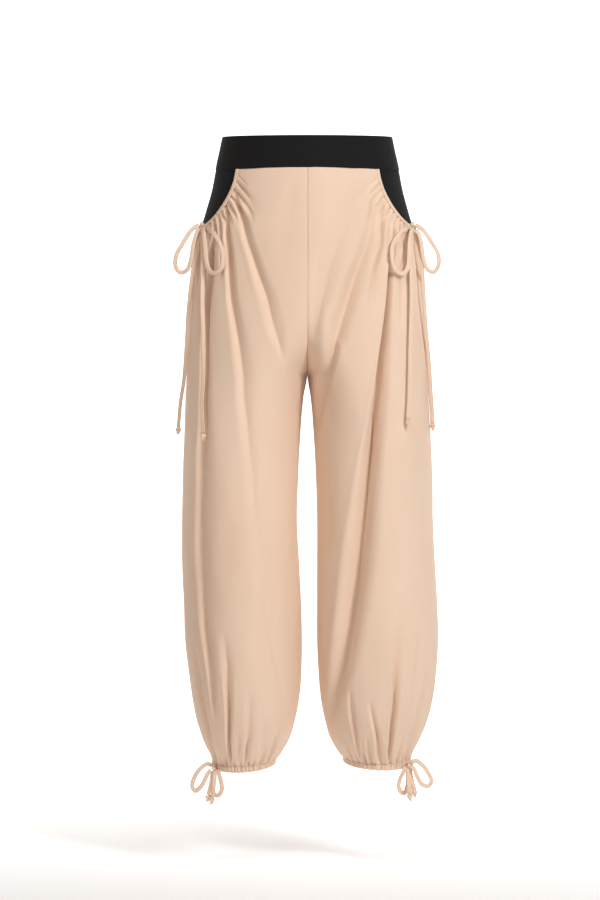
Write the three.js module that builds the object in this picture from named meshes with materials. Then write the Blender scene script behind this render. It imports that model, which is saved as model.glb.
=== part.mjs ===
// Balloon trousers, filled out as if worn, with nobody in them. The front faces -Y, and left and right are as seen
// from the front: left is at -X. The origin is the middle of the waist opening, halfway up the waistband.
// Lengths are millimetres.
// Each leg is a stack of level ovals. A place on the cloth is an angle round the oval, 0 at the side and growing
// towards the front (or the back) middle, and a height. Everything sewn on lies on the same form, moved out.
import * as THREE from "three";

// Cloth and seams
const CLOTH = 1.6;
const BAND_CLOTH = 2.2;
const SEAM = 0.3;

// Waistband, between its two edges at the side; both edges dip at the front and rise at the back
const BAND_TOP = 24;
const BAND_LOW = -28;
const BAND_TOP_DIP = 8.6;
const BAND_LOW_DIP = 6.6;
const BAND_LOW_LEVEL = 2.2;
const BAND_PROUD = 0.6;

// Hip opening: a U from one band corner round the side to the other, filled by the dark panel
const OPENING_FOOT = 8;
const FRONT_CORNER = 40.3;
const BACK_CORNER = 42;
const OPENING_DROP = 89;
const CASING_WIDTH = 6.2;
const CASING_PROUD = 1.6;
const CASING_GATHERS = 10;
const PINCHED = 0.5;
const HIP_RADIUS = 125;
const DARK_PANEL_INSET = 0.4;

// The threads of a leg panel leave the hip casing at a slant, and settle to the fall of the leg over this height
const SLANT = 1.25;
const SETTLING = 230;
const PANEL_SPAN = 170;
const GATHER_DEPTH = 2.2;
const GATHER_LENGTH = 30;

// Rise and legs
const HIP_LINE = -125;
const CROTCH = -351;
const CROTCH_CURVE = 5;
const THIGH_LINE = -480;
const SIDE_SEAM_SETTLED = -330;

// Ankles: a tilted ring for each leg, and the cloth that turns in to it
const RING_HEIGHT = 10;
const RING_PROUD = 1.1;
const RING_PINCHED = 0.3;
const RING_DEPTH = 44;
const RING_GATHERS = 28;

// The cloth blouses over the ring: how high above it the turn starts, how far the turn reaches out and sags at the
// front, and how much more it does so on the inner side than on the outer
const TURN_IN = 34;
const TURN_REACH = 15;
const TURN_REACH_MORE = 7;
const TURN_SAG = 6;
const TURN_SAG_MORE = 14;
const HEM_GATHER_START = 1.4;
const HEM_GATHER_DEEPEST = 2.6;
const HEM_GATHER_AT_RING = 0.35;

const ANKLES = {
  left: { middle: 99.4, half: 49, low: -964, outDip: 3, frontDip: 8 },
  right: { middle: 109.6, half: 52, low: -960.5, outDip: 2.5, frontDip: 8 },
};

// Flat self-fabric ties and their knots
const TIE_WIDTH = 6;
const TIE_THICK = 2.4;
const BOW_KNOT = [3.8, 5, 3.8];
const END_KNOT = [3.6, 3, 4.2];
const HIP_BOW_TURN = 70;
const ANKLE_BOW_ANGLE = 32;
const ANKLE_BOW_UP = 0.4;

// The ties' routes, from the knot of the bow. A loop comes back to the knot, a tail ends at its own knot.
const TIES = {
  hip_loop_outer_left: {
    count: 9,
    route: [
      [-169.7, -31, -117],
      [-180, -36, -125],
      [-195, -40, -148],
      [-205, -40, -168],
      [-205, -38, -184],
      [-198, -38, -192],
      [-188, -42, -189],
      [-182, -45, -175],
      [-177, -44, -146],
      [-170.5, -37, -124],
    ],
  },
  hip_loop_inner_left: {
    count: 10,
    route: [
      [-161, -33, -118],
      [-157.6, -35.5, -120.5],
      [-154.5, -50, -124.5],
      [-147, -64, -131],
      [-136, -77.5, -148],
      [-130, -84.5, -169],
      [-133, -83.5, -189],
      [-143, -77.5, -196],
      [-152, -70, -191],
      [-156.5, -64, -175],
      [-158.5, -60, -151],
      [-161, -52, -132],
      [-163.5, -41, -124],
    ],
  },
  hip_tail_outer_left: {
    count: 6,
    route: [
      [-166.8, -29.4, -120.5],
      [-168, -29.6, -126],
      [-169.5, -37, -135],
      [-173, -42, -158],
      [-180, -44, -204],
      [-185, -38, -251],
      [-188.5, -32, -305],
      [-193, -28, -360],
      [-198, -26, -391],
      [-202, -24, -434],
    ],
  },
  hip_tail_inner_left: {
    count: 6,
    route: [
      [-163.6, -34, -121.4],
      [-162.9, -35.6, -127],
      [-163.5, -45, -135],
      [-162, -57.5, -174],
      [-163, -63, -237],
      [-161, -72.5, -299],
      [-161, -79, -361],
      [-163, -81, -392],
      [-161, -85, -444],
    ],
  },
  hip_loop_outer_right: {
    count: 9,
    route: [
      [169, -31, -117],
      [180, -36, -125],
      [194, -40, -146],
      [204, -40, -164],
      [204.5, -38, -181],
      [197, -38, -191.5],
      [187, -42, -187],
      [181, -45, -172],
      [176.8, -46, -144],
      [171, -40.5, -125.5],
    ],
  },
  hip_loop_inner_right: {
    count: 10,
    route: [
      [160.3, -33, -118],
      [157, -35.5, -120.5],
      [154.5, -50, -124.5],
      [144, -67.5, -133],
      [132, -80.5, -152],
      [130.5, -85, -172],
      [135, -83.5, -189],
      [146, -75.5, -196.5],
      [155, -68, -188],
      [157.5, -63.5, -168],
      [158.5, -60, -147],
      [161, -52, -131],
      [163.5, -41, -124],
    ],
  },
  hip_tail_outer_right: {
    count: 6,
    route: [
      [166.6, -29.3, -121.2],
      [167.6, -29.6, -126],
      [170, -38, -136],
      [176, -42.5, -158],
      [182, -42.5, -236],
      [185, -38, -282],
      [189.5, -32, -329],
      [192.5, -28, -375],
      [196, -26, -428],
    ],
  },
  hip_tail_inner_right: {
    count: 6,
    route: [
      [163, -34, -121.4],
      [162.4, -35.6, -127],
      [162.5, -45, -135],
      [161, -57, -160],
      [161, -67, -237],
      [159, -77.5, -315],
      [157, -84.5, -392],
      [155, -88, -422],
    ],
  },
  ankle_loop_outer_left: {
    count: 7,
    route: [
      [-148.6, -27.8, -962.2],
      [-157, -30, -960],
      [-168, -30, -968],
      [-177, -28, -982],
      [-180, -27, -995],
      [-176, -27, -1002],
      [-167, -30, -996],
      [-160, -32, -984],
      [-155, -32.5, -973.5],
      [-150.5, -32.5, -968.5],
    ],
  },
  ankle_loop_inner_left: {
    count: 6,
    route: [
      [-140.2, -30, -968],
      [-138, -30.5, -976],
      [-134.5, -28, -990],
      [-134, -26, -1001],
      [-138.5, -24, -1009],
      [-145, -23, -1009],
      [-148, -22.5, -998],
      [-147, -23, -984],
      [-146.3, -24, -973.5],
    ],
  },
  ankle_tail_outer_left: {
    count: 2,
    route: [
      [-147.5, -27.9, -970.8],
      [-148.6, -28, -980],
      [-150.5, -28.5, -990],
      [-153, -28.5, -1000],
      [-155, -28.5, -1008],
    ],
  },
  ankle_tail_inner_left: {
    count: 2,
    route: [
      [-145.5, -30.6, -970.5],
      [-145.1, -30.7, -979],
      [-146, -32.5, -992],
      [-147.5, -33.5, -1003],
      [-149, -33.5, -1012],
    ],
  },
  ankle_loop_outer_right: {
    count: 7,
    route: [
      [161.1, -28.2, -960.2],
      [168.5, -30, -954.5],
      [178, -30, -960],
      [189, -28, -974],
      [194, -27, -987],
      [190, -27, -994],
      [180, -30, -992],
      [172, -32, -980],
      [167, -32.5, -968],
      [162.3, -32.2, -962.2],
    ],
  },
  ankle_loop_inner_right: {
    count: 6,
    route: [
      [152.8, -31.2, -963.4],
      [150.5, -32.5, -970.5],
      [145, -28, -983],
      [143, -26, -995],
      [146, -24, -1004],
      [152.5, -23, -1006],
      [156.5, -22.5, -995],
      [157, -23.5, -983],
      [156.8, -25, -972],
    ],
  },
  ankle_tail_outer_right: {
    count: 2,
    route: [
      [160.4, -27.9, -966.9],
      [161.4, -28, -975],
      [163, -28.5, -984],
      [165.5, -28.5, -994],
      [167.5, -28.5, -1001],
    ],
  },
  ankle_tail_inner_right: {
    count: 2,
    route: [
      [158, -30.6, -966.6],
      [157.6, -30.7, -975],
      [158, -32.5, -985],
      [159, -33.5, -996],
      [160, -33.5, -1006],
    ],
  },
};

const LEFT = { name: "left", sign: -1 };
const RIGHT = { name: "right", sign: 1 };
const FRONT = { name: "front", sign: 1, corner: FRONT_CORNER };
const BACK = { name: "back", sign: -1, corner: BACK_CORNER };

const table = (columns, rows) =>
  rows.map((row) => Object.fromEntries(columns.map((column, i) => [column, row[i]])));

// Level sections from the waist down: how far each leg reaches out and in from the middle, the reach to the front
// and back, and how far back the widest place lies.
const SECTIONS = table(
  ["z", "leftOut", "leftIn", "rightOut", "rightIn", "front", "back", "widest"],
  [
    [30, 132, 0, 132, 0, 97, 97, 0],
    [0, 138, 0, 138, 0, 98, 99, 1],
    [-28, 144.5, 0, 144.5, 0, 101, 103, 3],
    [-60, 151, 0, 151, 0, 104, 110, 8],
    [-91, 160, 0, 159.5, 0, 106, 117, 12],
    [-107, 165, 0, 164.5, 0, 108, 121, 14],
    [-130, 175, 0, 174, 0, 111, 124, 14],
    [-154, 182, 0, 181, 0, 112, 126, 13],
    [-233, 185, 0, 186, 0, 112, 124, 8],
    [-312, 188, 0, 189.5, 0, 109, 116, 2],
    [-351, 190, 0, 190, 0, 106, 110, 0],
    [-391, 192, 6.8, 191, 5.8, 103, 105, 0],
    [-454, 194, 11.5, 194.5, 10.6, 99, 100, 0],
    [-517, 196, 14.6, 196.5, 13.7, 97, 97, 0],
    [-580, 197.5, 16.2, 198, 15.3, 96, 96, 0],
    [-643, 197, 13, 201, 15.3, 96, 96, 0],
    [-706, 194.5, 9.9, 204.5, 15.3, 97, 97, 0],
    [-769, 192.5, 8.3, 206, 15.3, 98, 98, 0],
    [-832, 184.7, 9.9, 201, 18.4, 95, 95, 0],
    [-863, 180, 13.1, 196.4, 21.6, 91, 91, 0],
    [-895, 173.7, 19.4, 188.5, 27.9, 84, 84, 0],
    [-926, 164.3, 28.8, 175.9, 37.3, 72, 72, 0],
    [-951, 153.2, 43, 161.8, 51.5, 58, 58, 0],
  ],
);

// Long folds: where each starts and stops, how far across the leg it lies seen square on (0 at its inner edge or the
// middle seam, 1 at its outer edge) at four even steps from its top, its half width, and how deep it sinks. Lip is
// the share of that depth which stands up beside it, on the outer side where it is positive.
const FOLD_COLUMNS = ["top", "bottom", "a", "b", "c", "d", "half", "depth", "lip"];
const FOLDS = {
  left_front: table(FOLD_COLUMNS, [
    [-62, -330, 0.76, 0.46, 0.27, 0.16, 12, 4.5, 0.5],
    [-82, -838, 0.79, 0.5, 0.32, 0.14, 10, 6.5, 0.4],
    [-119, -700, 0.89, 0.82, 0.8, 0.82, 10, 6, -0.4],
    [-761, -965, 0.62, 0.64, 0.66, 0.7, 8, 4.5, 0.3],
    [-842, -965, 0.9, 0.9, 0.92, 0.94, 8, 3.5, -0.3],
  ]),
  right_front: table(FOLD_COLUMNS, [
    [-55, -285, 0.66, 0.36, 0.18, 0.08, 15, 3.5, 0.2],
    [-67, -470, 0.74, 0.43, 0.25, 0.09, 11, 5, 0.3],
    [-102, -900, 0.81, 0.58, 0.36, 0.1, 12, 7, 0.5],
    [-193, -431, 0.85, 0.83, 0.83, 0.79, 9, 4, 0.3],
    [-777, -960, 0.64, 0.67, 0.68, 0.71, 9, 5, 0.3],
    [-800, -960, 0.26, 0.26, 0.28, 0.32, 8, 3.5, 0.3],
  ]),
  left_back: table(FOLD_COLUMNS, [
    [-62, -400, 0.74, 0.44, 0.28, 0.16, 12, 4.5, 0.4],
    [-90, -690, 0.8, 0.58, 0.42, 0.3, 10, 6, 0.4],
    [-119, -780, 0.9, 0.8, 0.74, 0.66, 11, 5.5, -0.3],
    [-790, -960, 0.36, 0.4, 0.43, 0.46, 9, 4.5, 0.3],
    [-830, -960, 0.84, 0.8, 0.78, 0.76, 8, 4, -0.3],
  ]),
  right_back: table(FOLD_COLUMNS, [
    [-65, -350, 0.72, 0.42, 0.26, 0.14, 12, 4.5, 0.3],
    [-95, -760, 0.82, 0.64, 0.5, 0.34, 10, 6, -0.4],
    [-119, -560, 0.91, 0.86, 0.84, 0.82, 10, 5, 0.4],
    [-770, -955, 0.3, 0.34, 0.4, 0.46, 9, 5, 0.4],
    [-840, -955, 0.78, 0.75, 0.72, 0.72, 8, 4, 0.3],
  ]),
};

// A fold fades in and out over these shares of its length, and over this distance from a seam
const FOLD_START = 0.12;
const FOLD_END = 0.35;
const FOLD_FADE = 14;
const SHOULDER = 1.7;

const radians = (degrees) => (degrees * Math.PI) / 180;
const mix = (a, b, share) => a + (b - a) * share;
const clamp = (value) => Math.min(1, Math.max(0, value));
const ease = (value) => clamp(value) ** 2 * (3 - 2 * clamp(value));

// One column of a table at a height, on a smooth curve through its rows.
function reading(rows, column, z) {
  const last = rows.length - 1;
  const found = rows.findIndex((row) => row.z <= z);
  const i = found < 0 ? last - 1 : Math.max(0, found - 1);
  const slope = (at) => {
    const above = rows[Math.max(0, at - 1)];
    const below = rows[Math.min(last, at + 1)];
    return (below[column] - above[column]) / (below.z - above.z);
  };
  const step = rows[i + 1].z - rows[i].z;
  const u = clamp((z - rows[i].z) / step);
  const rise = rows[i][column] * (1 + 2 * u) * (1 - u) ** 2 + rows[i + 1][column] * u * u * (3 - 2 * u);
  return rise + slope(i) * step * u * (1 - u) ** 2 - slope(i + 1) * step * u * u * (1 - u);
}

// The oval of a leg at a height: egg-shaped, with its foremost place at middle. Above the crotch the two ovals
// meet at the middle seam, which runs back and under in a curve.
function oval(leg, z) {
  const out = reading(SECTIONS, leg.name + "Out", z);
  const inner = z > CROTCH ? 0 : Math.max(0, reading(SECTIONS, leg.name + "In", z));
  const front = reading(SECTIONS, "front", z);
  const back = reading(SECTIONS, "back", z);
  const widest = reading(SECTIONS, "widest", z);
  const middle = ((out + inner) / 2) * ease((HIP_LINE - z) / (HIP_LINE - THIGH_LINE));
  const fallen = clamp((HIP_LINE - z) / (HIP_LINE - CROTCH)) ** CROTCH_CURVE;
  const seam = Math.PI - Math.asin(Math.sqrt(1 - fallen));
  return { out, inner, middle, widest, frontDepth: front + widest, backDepth: back - widest, seam };
}

// A point of the smooth form. The angle is positive towards the front and negative towards the back.
function form(leg, angle, z) {
  const o = oval(leg, z);
  const depth = angle > 0 ? o.frontDepth : o.backDepth;
  const turned = Math.cos(angle);
  const inward = o.middle > 0 ? (o.middle - o.inner) / Math.abs(Math.cos(o.seam)) : 0;
  const x = o.middle + (turned > 0 ? o.out - o.middle : inward) * turned;
  return new THREE.Vector3(leg.sign * x, o.widest - depth * Math.sin(angle), z);
}

// The way out of the form at a place.
function wayOut(leg, angle, z) {
  const h = 0.01;
  const round = form(leg, angle + h, z).sub(form(leg, angle - h, z));
  const up = form(leg, angle, z + 1).sub(form(leg, angle, z - 1));
  return up.cross(round).multiplyScalar(leg.sign).normalize();
}

const onForm = (leg, angle, z, out) => form(leg, angle, z).addScaledVector(wayOut(leg, angle, z), out);

// The waistband's two edges at an angle. The lower one runs nearly level round the front.
const bandTop = (angle) => BAND_TOP - BAND_TOP_DIP * Math.sin(angle);
function bandLow(angle) {
  const turned = Math.sin(Math.min(Math.abs(angle), Math.PI / 2));
  return BAND_LOW - Math.sign(angle) * BAND_LOW_DIP * (1 - (1 - turned) ** BAND_LOW_LEVEL);
}

// A place along the hip opening: turn runs from 0 at the band corner to 90 degrees at its foot, and inset is the
// distance from the opening's edge into the leg.
function alongOpening(face, turn, inset) {
  const foot = radians(OPENING_FOOT);
  const reach = radians(face.corner) - face.sign * foot + inset / HIP_RADIUS;
  const gap = SEAM / 2 / HIP_RADIUS;
  const angle = foot + face.sign * (reach * Math.cos(turn) + gap);
  return { angle, z: bandLow(angle) - SEAM - (OPENING_DROP + inset) * Math.sin(turn) };
}

// The side seam starts at the foot of the hip opening, ahead of the side, and comes round to the side above the knee.
function sideSeam(z) {
  const start = BAND_LOW - OPENING_DROP;
  return radians(OPENING_FOOT) * (1 - ease((start - z) / (start - SIDE_SEAM_SETTLED)));
}

// The angle of a place that lies a share of the way from the middle seam to the side seam.
function acrossToAngle(leg, face, across, z) {
  const side = sideSeam(z);
  return side + (face.sign * oval(leg, z).seam - side) * (1 - across);
}

// The top edge of a leg panel: along the waistband as far as the corner, then along the hip casing.
const CORNER_SHARE = 12 / 42;
function topEdge(leg, face, s) {
  const beyond = CASING_WIDTH + SEAM;
  const turn = (Math.PI / 2) * clamp((s - CORNER_SHARE) / (1 - CORNER_SHARE));
  const corner = alongOpening(face, turn, beyond);
  if (s < CORNER_SHARE) {
    const middle = (face.sign * Math.PI) / 2;
    const angle = mix(middle, corner.angle, s / CORNER_SHARE);
    return { angle, z: bandLow(angle) - SEAM, lean: SLANT * (s / CORNER_SHARE) ** 1.5 };
  }
  return { ...corner, lean: SLANT * Math.cos(turn) };
}

const ringLow = (leg, face, angle) => {
  const ankle = ANKLES[leg.name];
  return ankle.low - ankle.outDip * Math.cos(angle) - face.sign * ankle.frontDip * Math.sin(angle);
};

function ringPoint(leg, face, angle, z, out) {
  const ankle = ANKLES[leg.name];
  const x = ankle.middle + (ankle.half + out) * Math.cos(angle);
  return new THREE.Vector3(leg.sign * x, -face.sign * (RING_DEPTH + out) * Math.sin(angle), z);
}

// The place of panel point s, t on the smooth form: s from the middle seam to the side seam, t from 0 at the top
// edge to 1 where the cloth starts to turn in.
function place(leg, face, s, t) {
  const top = topEdge(leg, face, s);
  const low = ringLow(leg, face, Math.PI * (1 - s)) + RING_HEIGHT + SEAM + TURN_IN;
  const z = mix(top.z, low, t);
  const side = sideSeam(top.z);
  const start = 1 - (top.angle - side) / (face.sign * oval(leg, top.z).seam - side);
  const u = clamp((top.z - z) / SETTLING);
  const leaned = (-top.lean * SETTLING) / PANEL_SPAN;
  const across = start + (s - start) * ease(u) + leaned * u * (1 - u) ** 2;
  return { z, angle: acrossToAngle(leg, face, across, z) };
}

// The smooth form with the turned-in end: t runs on from 1 to 2 at the ankle ring.
function smoothPoint(leg, face, s, t) {
  const at = place(leg, face, s, Math.min(t, 1));
  const start = form(leg, at.angle, at.z);
  if (t > 1) {
    const angle = Math.PI * (1 - s);
    const u = t - 1;
    const ringTop = ringLow(leg, face, angle) + RING_HEIGHT + SEAM;
    const end = ringPoint(leg, face, angle, ringTop, 0);
    const down = form(leg, at.angle, at.z - 1).sub(start).multiplyScalar(TURN_IN);
    const inward = ringPoint(leg, face, angle, ringTop, -1).sub(end);
    inward.multiplyScalar(TURN_REACH - TURN_REACH_MORE * Math.cos(angle));
    inward.z = -TURN_SAG - TURN_SAG_MORE * Math.cos(angle);
    start.multiplyScalar((1 + 2 * u) * (1 - u) ** 2);
    start.addScaledVector(end, u * u * (3 - 2 * u));
    start.addScaledVector(down, u * (1 - u) ** 2);
    start.addScaledVector(inward, -u * u * (1 - u));
  }
  start.x += (leg.sign * SEAM) / 2;
  start.y -= (face.sign * SEAM) / 2;
  return start;
}

function smoothOut(leg, face, s, t) {
  if (t <= 1) {
    const at = place(leg, face, s, t);
    return wayOut(leg, at.angle, at.z);
  }
  const h = 0.002;
  const [s0, s1] = [Math.max(0, s - h), Math.min(1, s + h)];
  const [t0, t1] = [t - h, Math.min(2, t + h)];
  const across = smoothPoint(leg, face, s1, t).sub(smoothPoint(leg, face, s0, t));
  const along = smoothPoint(leg, face, s, t1).sub(smoothPoint(leg, face, s, t0));
  return across.cross(along).multiplyScalar(-leg.sign * face.sign).normalize();
}

// How far across the leg a fold lies: the curve through its four places, where v runs from 0 to 3.
function foldPath(fold, v) {
  const outer = (fold.a * (1 - v) * (2 - v) * (3 - v) + fold.d * v * (v - 1) * (v - 2)) / 6;
  return outer + (fold.b * v * (2 - v) * (3 - v) + fold.c * v * (v - 1) * (3 - v)) / 2;
}

// How far the long folds move the cloth out at a place.
function foldDepth(leg, face, angle, z) {
  const o = oval(leg, z);
  const radius = (o.out - o.middle + o.frontDepth) / 2;
  const turned = face.sign * angle;
  let out = 0;
  for (const fold of FOLDS[leg.name + "_" + face.name]) {
    const u = (fold.top - z) / (fold.top - fold.bottom);
    if (u < 0 || u > 1) continue;
    const x = mix(o.inner, o.out, foldPath(fold, 3 * u)) - o.middle;
    const reach = x > 0 ? o.out - o.middle : (o.middle - o.inner) / Math.abs(Math.cos(o.seam));
    const away = ((Math.acos(x / reach) - turned) * radius) / fold.half;
    const strength = ease(u / FOLD_START) * ease((1 - u) / FOLD_END);
    const shoulder = away - Math.sign(fold.lip) * SHOULDER;
    out += fold.depth * strength * (Math.abs(fold.lip) * Math.exp(-shoulder * shoulder) - Math.exp(-away * away));
  }
  const fromMiddle = (o.seam - turned) * radius;
  const fromSide = (turned - face.sign * sideSeam(z)) * radius;
  return out * ease(fromMiddle / FOLD_FADE) * ease(fromSide / FOLD_FADE);
}

// Small gathers: one wave for each pucker, sunk from the form. Those of the hem are deepest where the cloth turns
// under and shallow at the ring, and those of the hip are strongest beside the casing.
function gatherDepth(s, t, drop) {
  if (t >= 1) {
    const hem = (1 - Math.cos(Math.PI * RING_GATHERS * s)) / 2;
    const deepening = mix(HEM_GATHER_START, HEM_GATHER_DEEPEST, ease((t - 1) * 1.5));
    return -hem * deepening * mix(1, HEM_GATHER_AT_RING, ease((t - 1.6) / 0.4));
  }
  const wave = (s - CORNER_SHARE) / (1 - CORNER_SHARE);
  const puckers = (1 - Math.cos(2 * Math.PI * CASING_GATHERS * wave)) / 2;
  return wave > 0 ? -puckers * GATHER_DEPTH * (1 - ease(drop / GATHER_LENGTH)) : 0;
}

// Both faces of the cloth at a panel point.
function clothAt(leg, face, s, t) {
  const at = place(leg, face, s, Math.min(t, 1));
  const drop = topEdge(leg, face, s).z - at.z;
  const fade = t > 1 ? 1 - ease(t - 1) : 1;
  const out = foldDepth(leg, face, at.angle, at.z) * fade + gatherDepth(s, t, drop);
  const way = smoothOut(leg, face, s, t);
  const outer = smoothPoint(leg, face, s, t).addScaledVector(way, out);
  return { outer, inner: outer.clone().addScaledVector(way, -CLOTH) };
}

// Puts triangles together into a geometry that faces outwards.
function solid(points, triangles) {
  let volume = 0;
  for (const [a, b, c] of triangles) volume += points[a].dot(points[b].clone().cross(points[c]));
  const geometry = new THREE.BufferGeometry();
  geometry.setAttribute("position", new THREE.Float32BufferAttribute(points.flatMap((p) => p.toArray()), 3));
  geometry.setIndex(triangles.flatMap(([a, b, c]) => (volume > 0 ? [a, b, c] : [a, c, b])));
  geometry.computeVertexNormals();
  return geometry;
}

// A closed wall between two faces. Each row is a list of outer and inner points; a row may have twice as many
// steps as the next one, or half as many.
function wall(rows) {
  const points = [];
  const triangles = [];
  const number = (row) => row.map(({ outer, inner }) => [points.push(outer) - 1, points.push(inner) - 1]);
  const ids = rows.map(number);
  const cell = (upper, lower, side) => {
    const faces = [];
    const flip = side === 1;
    const add = (a, b, c) => faces.push(flip ? [a, c, b] : [a, b, c]);
    const steps = Math.min(upper.length, lower.length) - 1;
    const [u, l] = [(upper.length - 1) / steps, (lower.length - 1) / steps];
    for (let i = 0; i < steps; i++) {
      const top = [...Array(u + 1).keys()].map((k) => upper[i * u + k][side]);
      const low = [...Array(l + 1).keys()].map((k) => lower[i * l + k][side]);
      if (u === 2) {
        add(top[0], low[0], top[1]);
        add(low[0], low[1], top[1]);
        add(low[1], top[2], top[1]);
      } else if (l === 2) {
        add(top[0], low[0], low[1]);
        add(top[0], low[1], top[1]);
        add(top[1], low[1], low[2]);
      } else {
        add(top[0], low[0], top[1]);
        add(low[0], low[1], top[1]);
      }
    }
    triangles.push(...faces);
  };
  for (let i = 0; i + 1 < ids.length; i++) {
    cell(ids[i], ids[i + 1], 0);
    cell(ids[i], ids[i + 1], 1);
  }
  const rim = (edge) => {
    for (let i = 0; i + 1 < edge.length; i++) {
      triangles.push([edge[i][0], edge[i + 1][0], edge[i][1]]);
      triangles.push([edge[i + 1][0], edge[i + 1][1], edge[i][1]]);
    }
  };
  rim(ids[0]);
  rim([...ids[ids.length - 1]].reverse());
  rim(ids.map((row) => row[0]).reverse());
  rim(ids.map((row) => row[row.length - 1]));
  return solid(points, triangles);
}

// A closed skin through a run of cross-sections, with flat ends unless the run joins up.
function skin(sections, joinsUp) {
  const count = sections[0].length;
  const triangles = [];
  const last = joinsUp ? sections.length : sections.length - 1;
  for (let i = 0; i < last; i++) {
    const [here, next] = [i * count, ((i + 1) % sections.length) * count];
    for (let j = 0; j < count; j++) {
      const k = (j + 1) % count;
      triangles.push([here + j, here + k, next + j], [here + k, next + k, next + j]);
    }
  }
  if (!joinsUp) {
    const end = (sections.length - 1) * count;
    for (let j = 1; j + 1 < count; j++) {
      triangles.push([0, j + 1, j], [end, end + j, end + j + 1]);
    }
  }
  return solid(sections.flat(), triangles);
}

const steps = (count) => [...Array(count + 1).keys()].map((i) => i / count);

// Rows of a leg panel: t, and whether the row has the full number of steps for the gathers.
const FULL = 42;
const HALF = FULL / 2;
const LEG_ROWS = table(
  ["t", "columns"],
  [
    [0, FULL],
    [0.008, FULL],
    [0.02, FULL],
    [0.045, HALF],
    [0.09, HALF],
    [0.15, HALF],
    [0.22, HALF],
    [0.285, HALF],
    [0.33, HALF],
    [0.352, HALF],
    [0.4, HALF],
    [0.5, HALF],
    [0.61, HALF],
    [0.72, HALF],
    [0.82, HALF],
    [0.9, HALF],
    [0.95, HALF],
    [1, FULL],
    [1.35, FULL],
    [1.7, FULL],
    [2, FULL],
  ],
);

function legPanel(leg, face) {
  return wall(LEG_ROWS.map((row) => steps(row.columns).map((s) => clothAt(leg, face, s, row.t))));
}

function waistband(face) {
  const heights = table(
    ["down", "proud"],
    [
      [0, -0.5],
      [0.06, 0],
      [0.5, 0],
      [0.94, 0],
      [1, -0.4],
    ],
  );
  const gap = SEAM / 2 / HIP_RADIUS;
  const round = steps(24).map((u) => mix(gap, Math.PI - gap, u));
  return wall(
    heights.map(({ down, proud }) =>
      round.map((turn) => {
        const leg = turn < Math.PI / 2 ? LEFT : RIGHT;
        const angle = face.sign * Math.min(turn, Math.PI - turn);
        const z = mix(bandTop(angle), bandLow(angle), down);
        return {
          outer: onForm(leg, angle, z, BAND_PROUD + proud),
          inner: onForm(leg, angle, z, BAND_PROUD - BAND_CLOTH),
        };
      }),
    ),
  );
}

// The dark panel fills the hip opening, just inside the casing's edge.
function hipPanel(leg) {
  const rows = [0, 12, 25, 38, 50, 61, 71, 79, 85];
  return wall(
    rows.map((degrees) =>
      steps(12).map((u) => {
        const turn = radians(degrees);
        const front = alongOpening(FRONT, turn, -SEAM).angle;
        const back = alongOpening(BACK, turn, -SEAM).angle;
        const angle = mix(back, front, u);
        const z = bandLow(angle) - SEAM - (OPENING_DROP - SEAM) * Math.sin(turn);
        return {
          outer: onForm(leg, angle, z, -DARK_PANEL_INSET),
          inner: onForm(leg, angle, z, -DARK_PANEL_INSET - CLOTH),
        };
      }),
    ),
  );
}

// A narrow gathered channel along the hip opening: rounded outside, flat inside, pinched between the gathers.
function hipCasing(leg, face) {
  const profile = [
    [0, 0],
    [0.25, 0.8],
    [0.5, 1],
    [0.75, 0.8],
    [1, 0],
  ];
  const sections = steps(CASING_GATHERS * 2).map((u, i) => {
    const turn = (Math.PI / 2) * u;
    const pinch = i % 2 ? 1 : PINCHED;
    const point = (across, out) => {
      const at = alongOpening(face, turn, across * CASING_WIDTH);
      return onForm(leg, at.angle, at.z, out);
    };
    const raised = profile.map(([across, rise]) => point(across, rise * CASING_PROUD * pinch));
    return [...raised, point(1, -CLOTH), point(0, -CLOTH)];
  });
  return skin(sections, false);
}

// The ankle casing: a gathered ring that follows the tilt of the hem.
function ankleCasing(leg) {
  const profile = [
    [0, 0],
    [0.25, 1],
    [0.75, 1],
    [1, 0],
    [1, -CLOTH],
    [0, -CLOTH],
  ];
  const sections = steps(RING_GATHERS * 2)
    .slice(0, -1)
    .map((u, i) => {
      const turn = 2 * Math.PI * u;
      const face = turn < Math.PI ? FRONT : BACK;
      const angle = turn < Math.PI ? turn : 2 * Math.PI - turn;
      const pinch = i % 2 ? 1 : RING_PINCHED;
      return profile.map(([up, out]) => {
        const proud = out > 0 ? out * RING_PROUD * pinch : out;
        return ringPoint(leg, face, angle, ringLow(leg, face, angle) + up * RING_HEIGHT, proud);
      });
    });
  return skin(sections, true);
}

// A flat tie along a smooth route.
function tie({ route, count }) {
  const section = new THREE.Shape();
  const outline = steps(8).slice(0, -1).map((u) => {
    const turn = 2 * Math.PI * u + Math.PI / 8;
    return new THREE.Vector2((TIE_THICK / 2) * Math.cos(turn), (TIE_WIDTH / 2) * Math.sin(turn));
  });
  section.setFromPoints(outline);
  const points = route.map((point) => new THREE.Vector3(...point));
  const extrudePath = new THREE.CatmullRomCurve3(points, false, "centripetal");
  return new THREE.ExtrudeGeometry(section, { steps: count, extrudePath });
}

const knot = (size) => new THREE.SphereGeometry(1, 8, 6).scale(...size);

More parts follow.
